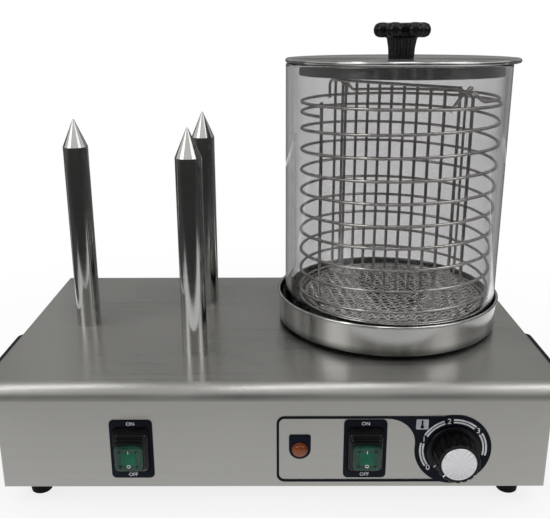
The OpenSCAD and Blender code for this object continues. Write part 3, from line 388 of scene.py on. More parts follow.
class Finish(Nodes):
    """A material and short ways to dress its shader."""

    def __init__(self, name):
        self.material = bpy.data.materials.new(name)
        self.material.use_nodes = True
        super().__init__(self.material.node_tree)
        self.shader = self.tree.nodes["Principled BSDF"]

    def set(self, **values):
        """Constants on the shader's own sockets."""
        for key, value in values.items():
            socket = self.shader.inputs[key.replace("_", " ")]
            socket.default_value = (*value, 1) if socket.type == "RGBA" else value

    def to(self, socket, value):
        """Joins a value to one of the shader's sockets."""
        self.link(value, self.shader.inputs[socket])

    def place(self, scale=(1, 1, 1), shift=(0, 0, 0), turn=(0, 0, 0)):
        """Object coordinates, scaled, moved and turned."""
        mapping = self.add("ShaderNodeMapping", Scale=scale, Location=shift, Rotation=turn)
        self.link(self.add("ShaderNodeTexCoord").outputs["Object"], mapping.inputs["Vector"])
        return mapping.outputs["Vector"]

    def noise(self, where, scale=1.0, detail=3.0, roughness=0.55):
        """Noise at a place."""
        node = self.add("ShaderNodeTexNoise", Scale=scale, Detail=detail, Roughness=roughness)
        self.link(where, node.inputs["Vector"])
        return node.outputs["Fac"]

    def shades(self, value, dark, light, start=0.3, end=0.7):
        """A value mapped to a range of colours."""
        node = self.add("ShaderNodeValToRGB")
        for stop, position, shade in zip(node.color_ramp.elements, (start, end), (dark, light)):
            stop.position = position
            stop.color = (*shade, 1)
        self.link(value, node.inputs["Fac"])
        return node.outputs["Color"]

    def mixed(self, one, other, share):
        """Two values mixed by a share."""
        node = self.add("ShaderNodeMix", data_type="FLOAT")
        node.inputs["Factor"].default_value = share
        self.link(one, node.inputs["A"])
        self.link(other, node.inputs["B"])
        return node.outputs["Result"]

    def bump(self, value, strength, distance):
        """A bump from a value."""
        node = self.add("ShaderNodeBump", Strength=strength, Distance=distance)
        self.link(value, node.inputs["Height"])
        self.to("Normal", node.outputs["Normal"])


def tone(base, factor):
    """A colour made darker or lighter."""
    return tuple(min(1.0, c * factor) for c in base)


def brushed(name, base, fine, long, rough=(0.24, 0.36), blotch=9.0, depth=0.012, round_axis="", turn=0.0):
    """Brushed steel: fine scratches along one way, longer streaks and soft smudges. Depth in mm."""
    steel = Finish(name)
    scratch = steel.noise(steel.place(fine), detail=2.0)
    streak = steel.noise(steel.place(long), detail=4.0, roughness=0.6)
    smudge = steel.noise(steel.place(), scale=blotch)
    grain = steel.mixed(scratch, streak, 0.45)
    steel.to("Base Color", steel.shades(steel.mixed(grain, smudge, 0.35), tone(base, 0.9), tone(base, 1.1)))
    steel.to("Roughness", steel.spread(steel.mixed(grain, smudge, 0.5), *rough))
    steel.bump(scratch, 0.12, depth * MM)
    steel.set(Metallic=1.0)
    if round_axis:
        way = steel.add("ShaderNodeTangent", direction_type="RADIAL", axis=round_axis)
        steel.to("Tangent", way.outputs["Tangent"])
        steel.set(Anisotropic=0.88, Anisotropic_Rotation=turn)
    return steel


def plastic(name, base, rough, grain, depth, strength, gloss=0.5):
    """Moulded plastic with a fine grain and a little dust in its tone. Depth in mm."""
    skin = Finish(name)
    fine = skin.noise(skin.place(), scale=grain, detail=2.0)
    cloud = skin.noise(skin.place(), scale=60.0, detail=4.0)
    skin.to("Base Color", skin.shades(cloud, tone(base, 0.8), tone(base, 1.35)))
    skin.to("Roughness", skin.spread(skin.mixed(fine, cloud, 0.6), *rough))
    skin.bump(fine, strength, depth * MM)
    skin.set(Specular_IOR_Level=gloss)
    return skin


class WARMER_OT_finishes(Operator):
    """Make every finish and give it to the solids that stay in view"""

    bl_idname = "warmer.finishes"
    bl_label = "Finishes"

    def execute(self, context):
        look = context.scene.warmer_colours
        for piece in frame["nodes"].values():
            piece.data.materials.clear()
        for plain in list(bpy.data.materials):
            bpy.data.materials.remove(plain)
        self.steels(look)
        self.plastics(look)
        self.clear(look)
        self.spun()
        for node, piece in frame["nodes"].items():
            finish = SLOT_OF[node]
            if finish == "housing_steel" and "side_panel" in node:
                finish = "side_steel"
            if node == "steam_tray":
                finish = "tray_steel"
            piece.data.materials.append(bpy.data.materials[finish])
        return {"FINISHED"}

    def steels(self, look):
        """Brushed, polished and plain metals."""
        level, level_long, around = (60, 60, 1500), (10, 10, 240), ("Z", 0.25)
        brushed("housing_steel", look.housing, (5, 1400, 1400), (2.5, 160, 160), round_axis="X")
        brushed("side_steel", look.housing, (1400, 5, 1400), (160, 2.5, 160), round_axis="Y")
        brushed("polished_steel", look.polished, level, level_long, (0.07, 0.16), 14.0, 0.004)
        brushed("lid_steel", look.polished, (300, 300, 60), (60, 60, 20), (0.14, 0.24), 12.0, 0.003, *around)
        tray = brushed("tray_steel", look.polished, level, level_long, (0.1, 0.18), 14.0, 0.006, *around)
        self.stain(tray)
        for name, base, fine, long, rough, blotch, depth in (
            ("wire_steel", look.wire, 500, 120, (0.1, 0.2), 40.0, 0.01),
            # The floor's wire is the same steel as the coil, given a lighter tone: painted light, as if lamplight
            # fell on it through the glass.
            ("lit_mesh_steel", tone(look.wire, 1.2), 500, 120, (0.16, 0.3), 40.0, 0.01),
            ("zinc_steel", look.zinc, 900, 200, (0.28, 0.45), 60.0, 0.02),
            ("heater_steel", tone(look.zinc, 0.6), 300, 80, (0.4, 0.6), 30.0, 0.03),
            ("aluminium", (0.72, 0.72, 0.73), 700, 150, (0.25, 0.4), 50.0, 0.02),
            ("copper", (0.75, 0.36, 0.2), 300, 90, (0.25, 0.45), 40.0, 0.02),
        ):
            brushed(name, base, (fine,) * 3, (long,) * 3, rough, blotch, depth)

    def stain(self, steel):
        """Darkens the floor of the tray, below a given height."""
        level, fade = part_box("steam_tray")[1].z - 26 * MM, 6 * MM
        apart = steel.add("ShaderNodeSeparateXYZ")
        steel.link(steel.place(), apart.inputs["Vector"])
        share = steel.spread(apart.outputs["Z"], 0.28, 1.0, level, level + fade)
        shade = steel.add("ShaderNodeMix", data_type="RGBA", blend_type="MULTIPLY")
        shade.inputs["Factor"].default_value = 1.0
        undarkened_tone = steel.shader.inputs["Base Color"].links[0].from_socket
        steel.link(undarkened_tone, shade.inputs[6])
        steel.link(share, shade.inputs[7])
        steel.to("Base Color", shade.outputs[2])

    def plastics(self, look):
        """Moulded, printed and see-through plastics."""
        for row in (
            ("black_plastic", look.black, (0.1, 0.22), 1100.0, 0.015, 0.12, 0.2),
            ("satin_black", look.black, (0.26, 0.36), 1100.0, 0.01, 0.1, 0.2),
            ("black_grip", tone(look.black, 1.3), (0.34, 0.5), 1500.0, 0.05, 0.4, 0.15),
            ("black_rubber", tone(look.black, 1.5), (0.6, 0.8), 1300.0, 0.06, 0.5, 0.08),
            ("printed_navy", look.navy, (0.3, 0.44), 1600.0, 0.02, 0.2, 0.06),
            ("print_white", look.print_white, (0.4, 0.55), 1500.0, 0.01, 0.1),
            ("icon_grey", look.icon_grey, (0.4, 0.55), 1500.0, 0.01, 0.1),
            ("moulded_tan", (0.42, 0.3, 0.18), (0.4, 0.6), 900.0, 0.04, 0.3),
        ):
            plastic(*row)
        green = plastic("green_plastic", look.green, (0.18, 0.3), 900.0, 0.02, 0.15)
        green.set(Emission_Color=look.green, Emission_Strength=0.35)
        window = plastic("green_window", (0.045, 0.2, 0.14), (0.06, 0.14), 700.0, 0.02, 0.15, 0.15)
        window.set(Transmission_Weight=0.85, IOR=1.45)
        lens = plastic("green_lens", tone(look.green, 0.6), (0.25, 0.4), 900.0, 0.02, 0.15, 0.15)
        lens.set(Transmission_Weight=0.3, IOR=1.45, Emission_Color=look.green, Emission_Strength=0.1)
        amber = plastic("amber_lens", look.amber, (0.08, 0.16), 500.0, 0.02, 0.15)
        amber.set(Transmission_Weight=0.35, IOR=1.5, Emission_Color=look.amber, Emission_Strength=0.1)

    def clear(self, look):
        """Clear glass with a breath of haze, tinted grey: the grey is painted shade that dims whatever shows
        through.
        """
        glass = Finish("clear_glass")
        haze = glass.noise(glass.place((25, 25, 8)), detail=4.0)
        glass.to("Base Color", glass.shades(haze, tone(look.glass, 0.96), look.glass))
        glass.to("Roughness", glass.spread(haze, 0.0, 0.004))
        glass.set(Transmission_Weight=1.0, IOR=1.47)

    def spun(self):
        """The knob's cap, spun so that it shines in rays from its middle."""
        low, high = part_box("knob_cap")
        hub = (low + high) / 2
        cap = Finish("spun_cap")
        fan = cap.add("ShaderNodeTexGradient", gradient_type="RADIAL")
        cap.link(cap.place(shift=(-hub.x, hub.z, -hub.y), turn=(math.pi / 2, 0, 0)), fan.inputs["Vector"])
        noise = cap.add("ShaderNodeTexNoise", noise_dimensions="1D", Scale=40.0, Detail=5.0)
        cap.link(fan.outputs["Fac"], noise.inputs["W"])
        rays = noise.outputs["Fac"]
        cap.to("Base Color", cap.shades(rays, (0.6, 0.6, 0.62), (0.8, 0.8, 0.82)))
        cap.to("Roughness", cap.spread(rays, 0.28, 0.44))
        cap.bump(rays, 0.2, 0.03 * MM)
        cap.set(Metallic=1.0)


class WARMER_OT_basket(Operator):
    """Make the wire basket: coil, rings, uprights, handle, divider and woven floor"""

    bl_idname = "warmer.basket"
    bl_label = "Wire basket"

    def execute(self, context):
        sizes = context.scene.warmer_sizes
        wire_r, turns, ease = sizes.wire_radius, sizes.coil_turns, sizes.coil_ease
        low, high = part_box("basket_rings")
        centre = (low + high) / 2
        radius = (high.x - low.x) / 2 - wire_r
        rings = (low.z + wire_r, high.z - wire_r)
        coil_low, coil_high = rings[0] + sizes.coil_foot, rings[1] - sizes.coil_drop
        pitch = (coil_high - coil_low) / (turns - ease / 2)

        def level(turn):
            """Height of the coil after a number of turns."""
            return coil_high - pitch * (turn * turn / (2 * ease) if turn < ease else turn - ease / 2)

        coil = []
        steps = int(turns * 72)
        for k in range(steps + 1):
            turn = turns * k / steps
            angle = sizes.coil_start - math.tau * turn
            spot = Vector((math.cos(angle), math.sin(angle), 0)) * radius
            coil.append(Vector((centre.x, centre.y, level(turn))) + spot)
        self.fit(wire("wire_coil", [coil], wire_r), "basket_coil")
        hoops = [ring(centre, radius, z) for z in rings]
        self.fit(wire("wire_rings", hoops, wire_r, closed=True), "basket_rings")
        self.uprights(sizes, centre, radius, rings, level)
        self.handle(wire_r)
        self.divider(sizes, centre)
        self.floor(sizes, centre)
        return {"FINISHED"}

    def fit(self, piece, node, body="basket", finish="wire_steel"):
        """Settles wires in the stead of a solid."""
        settle(piece, body, finish, node, 60)

    def uprights(self, sizes, centre, radius, rings, level):
        """Four uprights inside the rings, two hooked over, with a weld at each crossing."""
        low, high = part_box("basket_struts")
        wire_r, hook, hook_leg, gap = sizes.wire_radius, 3.5 * MM, 8 * MM, 0.05 * MM
        inner = radius - 2 * wire_r - gap
        axis = Vector((centre.x, centre.y, 0))
        welds, paths = [], []
        for k in range(4):
            angle = sizes.coil_start + math.radians(90 * (k - 2))
            out = Vector((math.cos(angle), math.sin(angle), 0))
            foot = axis + out * inner
            path = [foot + UP * low.z]
            if k % 2:
                bend = high.z - wire_r - hook
                path.append(foot + UP * bend)
                path += [foot - out * (hook - x) + UP * (bend + z) for x, z in arc((0, 0), hook, 15, 180, 11)]
                path.append(foot - out * 2 * hook + UP * (bend - hook_leg))
            else:
                path.append(foot + UP * (rings[1] + 2 * wire_r))
            paths.append(path)
            heights = list(rings)
            turn = ((sizes.coil_start - angle) / math.tau) % 1
            while turn <= sizes.coil_turns:
                heights.append(level(turn))
                turn += 1
            welds += [axis + out * (inner + wire_r) + UP * z for z in heights]
        uprights = wire("uprights", paths, wire_r)
        deselect()
        bpy.ops.mesh.primitive_ico_sphere_add(subdivisions=2, radius=1.35 * wire_r, location=welds[0])
        weld = bpy.context.object
        bpy.ops.object.mode_set(mode="EDIT")
        bpy.ops.transform.resize(value=(0.9, 0.9, 1.1))
        bpy.ops.object.mode_set(mode="OBJECT")
        copies = [copy_of(weld, spot - welds[0]) for spot in welds[1:]]
        self.fit(join("wire_uprights", [uprights, weld, *copies]), "basket_struts")

    def handle(self, wire_r):
        """A folding handle that lies on the top ring, with an eye round each hook."""
        joint = JOINTS["basket_handle_swing"]
        pivot = Vector(joint["pos_m"])
        ahead = UP.cross(Vector(joint["axis"]).normalized())
        ahead *= 1 if ahead.x > 0 else -1
        side = UP.cross(ahead)
        eye, reach, hooks, run = 3.2 * MM, 87 * MM, 83.05 * MM, 12.2 * MM
        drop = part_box("basket_handle")[0].z + wire_r - pivot.z
        cut = math.degrees(math.asin(run / reach))

        def at(x, y, z):
            """A point ahead, to the side and above the pivot."""
            return pivot + ahead * x + side * y + UP * z

        path = [at(x, hooks, z) for x, z in arc((0, 0), eye, -300, 0, 20)]
        path += [at(x, y, drop) for x, y in arc((0, 0), reach, 90 - cut, cut - 90, 60)]
        path += [at(x, -hooks, z) for x, z in arc((0, 0), eye, 0, -300, 20)]
        for _ in range(2):
            cuts = [a.lerp(b, share) for a, b in zip(path, path[1:]) for share in (0.25, 0.75)]
            path = [path[0], *cuts, path[-1]]
        self.fit(wire("wire_handle", [path], wire_r), "basket_handle", "basket_handle")

    def divider(self, sizes, centre):
        """A fence of uprights across the basket, with a frame bent over at both ends."""
        left, right, offset = -86.13 * MM, 74.63 * MM, -8 * MM
        bottom, top, bend, inset = 159.15 * MM, 353.3 * MM, 5 * MM, 4 * MM
        left_leg, right_leg, right_lean, right_back = 17.5 * MM, 20 * MM, 11 * MM, 0.6 * MM
        bars, first_bar, bar_step, bar_back = 11, -79.63 * MM, 15 * MM, 2 * MM
        bar_low, bar_high = 157.9 * MM, 354.55 * MM
        turn = Matrix.Rotation(sizes.divider_turn, 3, "Z")

        def at(x, y, z):
            """A point along and behind the divider's own line."""
            return Vector((centre.x, centre.y, 0)) + turn @ Vector((x, offset + y, 0)) + UP * z

        rim = [at(left, 0, top - left_leg)]
        rim += [at(x, 0, z) for x, z in arc((left + bend, top - bend), bend, 180, 90, 8)]
        rim += [at(x, 0, z) for x, z in arc((right - bend, top - bend), bend, 90, 0, 8)]
        rim.append(at(right - right_lean, -right_back, top - right_leg))
        paths = [rim, [at(left + inset, 0, bottom), at(right - inset, 0, bottom)]]
        for k in range(bars):
            x = first_bar + k * bar_step
            paths.append([at(x, bar_back, bar_low), at(x, bar_back, bar_high)])
        self.fit(wire("wire_divider", paths, sizes.wire_radius), "basket_divider")

    def floor(self, sizes, centre):
        """A floor of two sets of wires woven over and under each other, inside a ring."""
        low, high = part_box("basket_floor")
        reach, level = (high.x - low.x) / 2, (low.z + high.z) / 2
        wire_r, gap, rim_r, lean = sizes.mesh_wire, sizes.mesh_step, 1.2 * MM, math.radians(37)
        cross, weave = gap / math.sin(2 * lean), 0.9 * wire_r
        most = int((reach - 2 * wire_r) / gap)
        paths = []
        for side in (1, -1):
            way = Vector((math.cos(lean), side * math.sin(lean), 0))
            across = Vector((-way.y, way.x, 0))
            for k in range(-most, most + 1):
                run = math.sqrt((reach - wire_r) ** 2 - (k * gap) ** 2)
                steps = max(4, int(2 * run / (cross / 4)))
                path = []
                for step in range(steps + 1):
                    along = -run + 2 * run * step / steps
                    wave = weave * side * math.cos(math.pi * along / cross + math.pi * k)
                    spot = way * along + across * k * gap
                    path.append(Vector((centre.x + spot.x, centre.y + spot.y, level + wave)))
                paths.append(path)
        mesh = wire("wire_floor", paths, wire_r, 1)
        rim = wire("floor_rim", [ring(centre, reach - rim_r, level)], rim_r, 3, True)
        # The floor takes the lighter copy of the wire steel, whose extra brightness is painted light.
        self.fit(join("wire_floor", [mesh, rim]), "basket_floor", finish="lit_mesh_steel")


class WARMER_OT_lid(Operator):
    """Make the lid with its rolled edge and skirt, and its lobed knob"""

    bl_idname = "warmer.lid"
    bl_label = "Lid"

    def execute(self, context):
        base, size = upright("lid")
        drop = size.z - 4 * MM
        skirt, bead, bend, sheet, lip = 91 * MM, 2 * MM, 1.5 * MM, MM, 0.4 * MM
        edge, inside = size.x / 2 - bead, skirt - 3 * MM
        bore, step_in, step_out = 3.2 * MM, 22 * MM, 24 * MM
        under, over = 2 * MM, 3 * MM
        line = [(bore, under), (inside, under)] + arc((inside, 0), 2 * MM, 90, 0, 5)
        line += [(skirt - sheet, lip - drop), (skirt - sheet / 2, -drop), (skirt, lip - drop)]
        line += [(skirt, lip / 2), (skirt, lip)] + arc((skirt + bend, lip), bend, 180, 90, 5)
        line += [(edge - 1.6 * MM, 1.9 * MM)] + arc((edge, bead), bead * 0.998, 190, 390, 22)[1:]
        line += arc((edge, bead), bead * 0.998, 30, 118, 10)[1:]
        line += [(edge - 4 * MM, over), (step_out, over), (step_in, 3.02 * MM), (bore, 3.02 * MM)]
        pan = turned("lid_pan", line, base + UP * drop, steps=144)
        settle(pan, "lid", "lid_steel", "lid", 40)
        self.knob(context.scene.warmer_sizes)
        return {"FINISHED"}

    def knob(self, sizes):
        """A lobed head on a fluted neck, grown into one moulded form."""
        base, size = upright("lid_knob")
        top, lobe_r, head = size.z, 8 * MM, 18 * MM
        reach = size.x / 2 - lobe_r
        line = [(r * MM, head + h * MM) for r, h in ((0, -1), (13, -1), (15.6, 1.2), (16.8, 4))]
        line += [(r * MM, top - h * MM) for r, h in ((16.8, 3.4), (15.8, 1.2), (13, 0.5), (0, 0.8))]
        pieces = [turned("lid_knob_grip", line, base, steps=64, closed=False)]
        bow = ((0, 0), (0.4, 0.2), (0.76, 1.5), (0.95, 4))
        line = [(lobe_r * r, head + h * MM) for r, h in (*bow, (1, 6.5))]
        line += [(lobe_r * r, top - h * MM) for r, h in reversed(bow)]
        lobe = turned("lobe", line, base + Vector((reach, 0, 0)), steps=32, closed=False)
        pieces.append(lobe)
        for x, y in arc((-reach, 0), reach, 0, 360, sizes.lobes)[1:-1]:
            pieces.append(copy_of(lobe, Vector((x, y, 0))))
        neck = [base + Vector((x, y, 0)) for x, y in fluted(11.4 * MM, 0.75 * MM, sizes.neck_flutes)]
        pieces.append(outline("neck", neck))
        for rise, grow in ((9, 1.04), (8, 1.12), (3, 1.1)):
            push(UP * rise * MM, (grow, grow, 1), base)
        clean()
        grip = join("lid_knob_grip", pieces)
        modify(grip, "REMESH", mode="VOXEL", voxel_size=0.45 * MM)
        modify(grip, "SMOOTH", factor=0.5, iterations=6)
        settle(grip, "lid", "black_plastic", "lid_knob", 180)


class WARMER_OT_glass(Operator):
    """Make the glass cylinder with fire-polished lips"""

    bl_idname = "warmer.glass"
    bl_label = "Glass cylinder"

    def execute(self, context):
        base, size = upright("glass_cylinder")
        thick, lip = 5 * MM, 1.5 * MM
        outer, inner, tall, near = size.x / 2, size.x / 2 - thick, size.z, 2 * lip
        line = [(outer, near)] + arc((outer - lip, lip), lip, 0, -90, 4)
        line += arc((inner + lip, lip), lip, 270, 180, 4) + [(inner, near), (inner, tall - near)]
        line += arc((inner + lip, tall - lip), lip, 180, 90, 4)
        line += arc((outer - lip, tall - lip), lip, 90, 0, 4) + [(outer, tall - near)]
        wall = turned("glass_wall", line, base, steps=192)
        settle(wall, "glass", "clear_glass", "glass_cylinder", 60)
        wall.visible_shadow = False
        return {"FINISHED"}


class WARMER_OT_switches(Operator):
    """Make the two switches: plates with ON and OFF, hoods, green windows and rockers"""

    bl_idname = "warmer.switches"
    bl_label = "Switches"

    def execute(self, context):
        back, size = facing("left_switch_plate")
        front = back + OUT * size.y
        plate = slab("plate", on_front(back, rounded(size.x, size.z, 4 * MM)), OUT * size.y)
        soften(plate, 0.25 * MM, 2)
        self.fit(plate, "plate", "printed_navy", "switch_plate", slot="black_plastic")
        for text, z in (("ON", 24.4), ("OFF", -24.6)):
            place = front + UP * z * MM + OUT * 0.03 * MM
            mark = words("mark", text, place, 4.6 * MM, 0.12 * MM)
            self.fit(mark, f"{text.lower()}_mark", "print_white", slot="printed_navy")
        self.hood(front)
        self.window()
        self.rocker(context.scene.warmer_sizes.rocker_rest)
        return {"FINISHED"}

    def fit(self, piece, name, finish, node="", angle=32, slot="", body="housing"):
        """Copies a piece of the left switch for the right one, and settles both."""
        shift = facing("right_switch_plate")[0] - facing("left_switch_plate")[0]
        for side, one in (("left", piece), ("right", copy_of(piece, shift))):
            named(one, f"{side}_{name}")
            settle(one, body.format(side), finish, node and f"{side}_{node}", angle)

    def hood(self, front):
        """A tapered hood with fine ribs near its front."""
        back, size = facing("left_switch_hood")
        start = Vector((front.x, back.y, front.z))
        mouth, wall, rib, corner = 25 * MM, 1.6 * MM, -0.5 * MM, 4 * MM
        hood = outline("hood", on_front(start, rounded(size.x, size.z, corner, 5)))
        now_w, now_h, out = size.x, size.z, 0.0
        for part, inset in (
            (0.5, 0), (0.55, rib), (0.6, 0), (0.68, rib), (0.73, 0), (0.81, rib), (0.86, 0), (1.0, 0),
        ):
            step = size.y * part - out
            out += step
            to_w = size.x + (mouth - size.x) * part + 1.2 * inset
            to_h = size.z + (mouth - size.z) * part + 2 * inset
            push(OUT * step, (to_w / now_w, 1, to_h / now_h), start + OUT * out)
            now_w, now_h = to_w, to_h
        bpy.ops.mesh.inset(thickness=wall)
        push(-OUT * (size.y - 0.4 * MM))
        bpy.ops.mesh.delete(type="FACE")
        open_back(hood)
        bpy.ops.mesh.select_mode(type="EDGE")
        bpy.ops.mesh.select_non_manifold()
        bpy.ops.mesh.bridge_edge_loops()
        bpy.ops.mesh.select_mode(type="VERT")
        clean()
        soften(hood, 0.35 * MM, 2, 40)
        self.fit(hood, "hood", "black_plastic", "switch_hood")

    def window(self):
        """A soft green cap with a paler square in the middle, marked I and O."""
        start, size = facing("left_switch_window")
        front = start + OUT * size.y
        cap = outline("window", on_front(start, rounded(size.x, size.x, 4 * MM)))
        for part, taper in ((0.55, 1), (0.33, 0.965), (0.12, 0.93)):
            push(OUT * size.y * part, (taper, 1, taper), start)
        bpy.ops.mesh.inset(thickness=4.2 * MM)
        push(-OUT * 0.5 * MM, (0.97, 1, 0.97), start)
        open_back(cap)
        bpy.ops.mesh.select_all(action="SELECT")
        bpy.ops.mesh.normals_make_consistent(inside=False)
        bpy.ops.object.mode_set(mode="OBJECT")
        soften(cap, 0.3 * MM, 3, 25)
        modify(cap, "SOLIDIFY", thickness=0.9 * MM, offset=-1)
        self.fit(cap, "window", "green_window", "switch_window", 60)
        square, corner = 12.6 * MM, 1.4 * MM
        lens = outline("lens", on_front(front, rounded(square, square, corner, 4), -0.5 * MM))
        push(OUT * 0.3 * MM)
        push(OUT * 0.15 * MM, (0.95, 1, 0.95), front)
        clean()
        self.fit(lens, "lens", "green_lens", angle=40, slot="green_window")
        for text, name, z in (("I", "one", 6.2), ("O", "nought", -6.9)):
            mark = words("mark", text, front + UP * z * MM + OUT * 0.1 * MM, 4.2 * MM, 0.1 * MM)
            self.fit(mark, f"{name}_mark", "print_white", slot="green_window")

    def rocker(self, rest):
        """A rocker with two sloping faces."""
        pivot = Vector(JOINTS["left_rocker_tilt"]["pos_m"])
        face, half, hub, wide = 5.5 * MM, 10 * MM, 4 * MM, 14 * MM
        dish = half * math.tan(rest)
        tilt = Matrix.Rotation(-rest, 3, "X")
        pairs = [(0, -hub), (face + dish / 2, -half), (face + dish, -half), (face, 0),
                 (face + dish, half), (face + dish / 2, half), (0, hub)]
        points = [pivot + tilt @ Vector((-wide / 2, -out, z)) for out, z in pairs]
        rocker = slab("key", points, Vector((wide, 0, 0)))
        soften(rocker, 0.7 * MM, 3, 20)
        self.fit(rocker, "key", "green_plastic", "rocker", 40, body="{}_rocker")


class WARMER_OT_dial(Operator):
    """Make the printed dial, its numbers and bands, the fluted knob and its cap"""

    bl_idname = "warmer.dial"
    bl_label = "Thermostat dial"

    def execute(self, context):
        hub = facing("knob_cap")[0]
        hub.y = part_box("dial_overlay")[0].y - 0.02 * MM
        ink, figures = 0.08 * MM, 27.2 * MM
        marks = []
        for start, end in ((214, 167), (151, 108), (92, 49), (33, -12)):
            for inner, outer in mm((25.2, 26.7), (27.6, 29.1)):
                pairs = arc((0, 0), outer, start, end, 14) + arc((0, 0), inner, end, start, 14)
                marks.append(slab("band", on_front(hub, pairs), OUT * ink))
        for text, angle in (("0", 220.5), ("1", 159), ("2", 100), ("3", 41)):
            a = math.radians(angle)
            place = hub + Vector((figures * math.cos(a), 0, figures * math.sin(a)))
            marks.append(words("number", text, place, 7.2 * MM, ink))
        settle(join("dial_print", marks), "housing", "print_white")
        self.sign(hub.y, ink)
        self.knob(context.scene.warmer_sizes.flutes, hub)
        return {"FINISHED"}

    def sign(self, y, ink):
        """A pale plate with a thermometer sign beside the dial."""
        spot = Vector((126.5 * MM, y, 78.6 * MM))
        plate = slab("sign_plate", on_front(spot, rounded(10.6 * MM, 9.6 * MM, 1.2 * MM)), OUT * ink)
        settle(plate, "housing", "icon_grey")
        stem = arc((0, -2.4 * MM), 1.6 * MM, 120, 420, 16) + arc((0, 3.2 * MM), 0.8 * MM, 0, 180, 6)
        mark = slab("sign_stem", on_front(spot, stem, 0.1 * MM), OUT * 0.06 * MM)
        settle(mark, "housing", "printed_navy")

    def knob(self, flutes, hub):
        """A skirt and a fluted grip, with a metal cap and a white pointer on its rim."""
        low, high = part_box("thermostat_knob")
        back = Vector((hub.x, high.y, hub.z))
        skirt_r, tall, grip_r, seat = (high.x - low.x) / 2, high.y - low.y, 19 * MM, 3 * MM
        line = [(0, 0.6 * MM), (skirt_r - 0.5 * MM, 0), (skirt_r, 0.6 * MM), (skirt_r, 2.2 * MM)]
        line += [(skirt_r - 0.8 * MM, seat), (19.2 * MM, 3.2 * MM), (0, 3.2 * MM)]
        skirt = turned("skirt", line, back, OUT, closed=False)
        grip = outline("grip", on_front(back, fluted(grip_r, 1.1 * MM, flutes, 1.5), 2.9 * MM))
        for step, taper in ((tall - 3.8 * MM, 18.1 / 19), (0.5 * MM, 0.992), (0.4 * MM, 0.975)):
            push(OUT * step, (taper, 1, taper), back + OUT * seat)
        clean()
        settle(join("dial_knob", [skirt, grip]), "thermostat_dial", "satin_black", "thermostat_knob", 40)
        face, size = facing("knob_cap")
        cap_r, proud = size.x / 2, size.y
        line = [(0, 0), (cap_r - 0.1 * MM, 0), (cap_r, 0.3 * MM)]
        line += [(cap_r - r * MM, proud - h * MM) for r, h in ((0, 0.5), (0.3, 0.12), (1.2, 0), (1.6, 0.15))]
        cap = turned("dial_cap", line + [(0, proud - 0.15 * MM)], face, OUT, closed=False)
        settle(cap, "thermostat_dial", "spun_cap", "knob_cap")
        lean, half = math.radians(222), 0.6 * MM
        way = Vector((math.cos(lean), 0, math.sin(lean)))
        across = Vector((-math.sin(lean), 0, math.cos(lean)))
        marks = []
        for y, near, far in ((low.y - 0.05 * MM, 14.9, 17.3), (high.y - 3.05 * MM, 19.6, 22.2)):
            spot = Vector((hub.x, y, hub.z))
            corners = [(near, -half), (far, -half), (far, half), (near, half)]
            points = [spot + way * r * MM + across * w for r, w in corners]
            marks.append(slab("mark", points, OUT * 0.12 * MM))
        settle(join("dial_pointer", marks), "thermostat_dial", "print_white")


class WARMER_OT_pilot_lamp(Operator):
    """Make the pilot lamp's plate and its amber lens"""

    bl_idname = "warmer.pilot_lamp"
    bl_label = "Pilot lamp"

    def execute(self, context):
        low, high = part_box("lamp_plate")
        base, size = facing("pilot_lens")
        half, corner, top = (high.x - low.x) / 2, 2.2 * MM, high.z - base.z
        hub = Vector(((low.x + high.x) / 2, high.y, base.z))
        pairs = arc((0, 0), half, 180, 360, 24) + arc((half - corner, top - corner), corner, 0, 90, 5)
        pairs += arc((corner - half, top - corner), corner, 90, 180, 5)
        plate = slab("lamp_back", on_front(hub, pairs), OUT * (high.y - low.y))
        soften(plate, 0.25 * MM, 2)
        settle(plate, "housing", "printed_navy", "lamp_plate")
        radius, rim = size.x / 2, 1.5 * MM
        bow, dome = radius - 0.7 * MM, size.y - rim
        line = [(0, 0), (radius - 0.1 * MM, 0), (radius, 0.2 * MM), (radius, 1.1 * MM)]
        line += [(radius - 0.3 * MM, 1.4 * MM), (bow, rim)]
        line += [(bow * x, rim + dome * y) for x, y in arc((0, 0), 1, 10, 80, 7)] + [(0, rim + dome)]
        lens = turned("lamp_lens", line, Vector((hub.x, base.y, hub.z)), OUT, 64, closed=False)
        settle(lens, "housing", "amber_lens", "pilot_lens", 50)
        return {"FINISHED"}


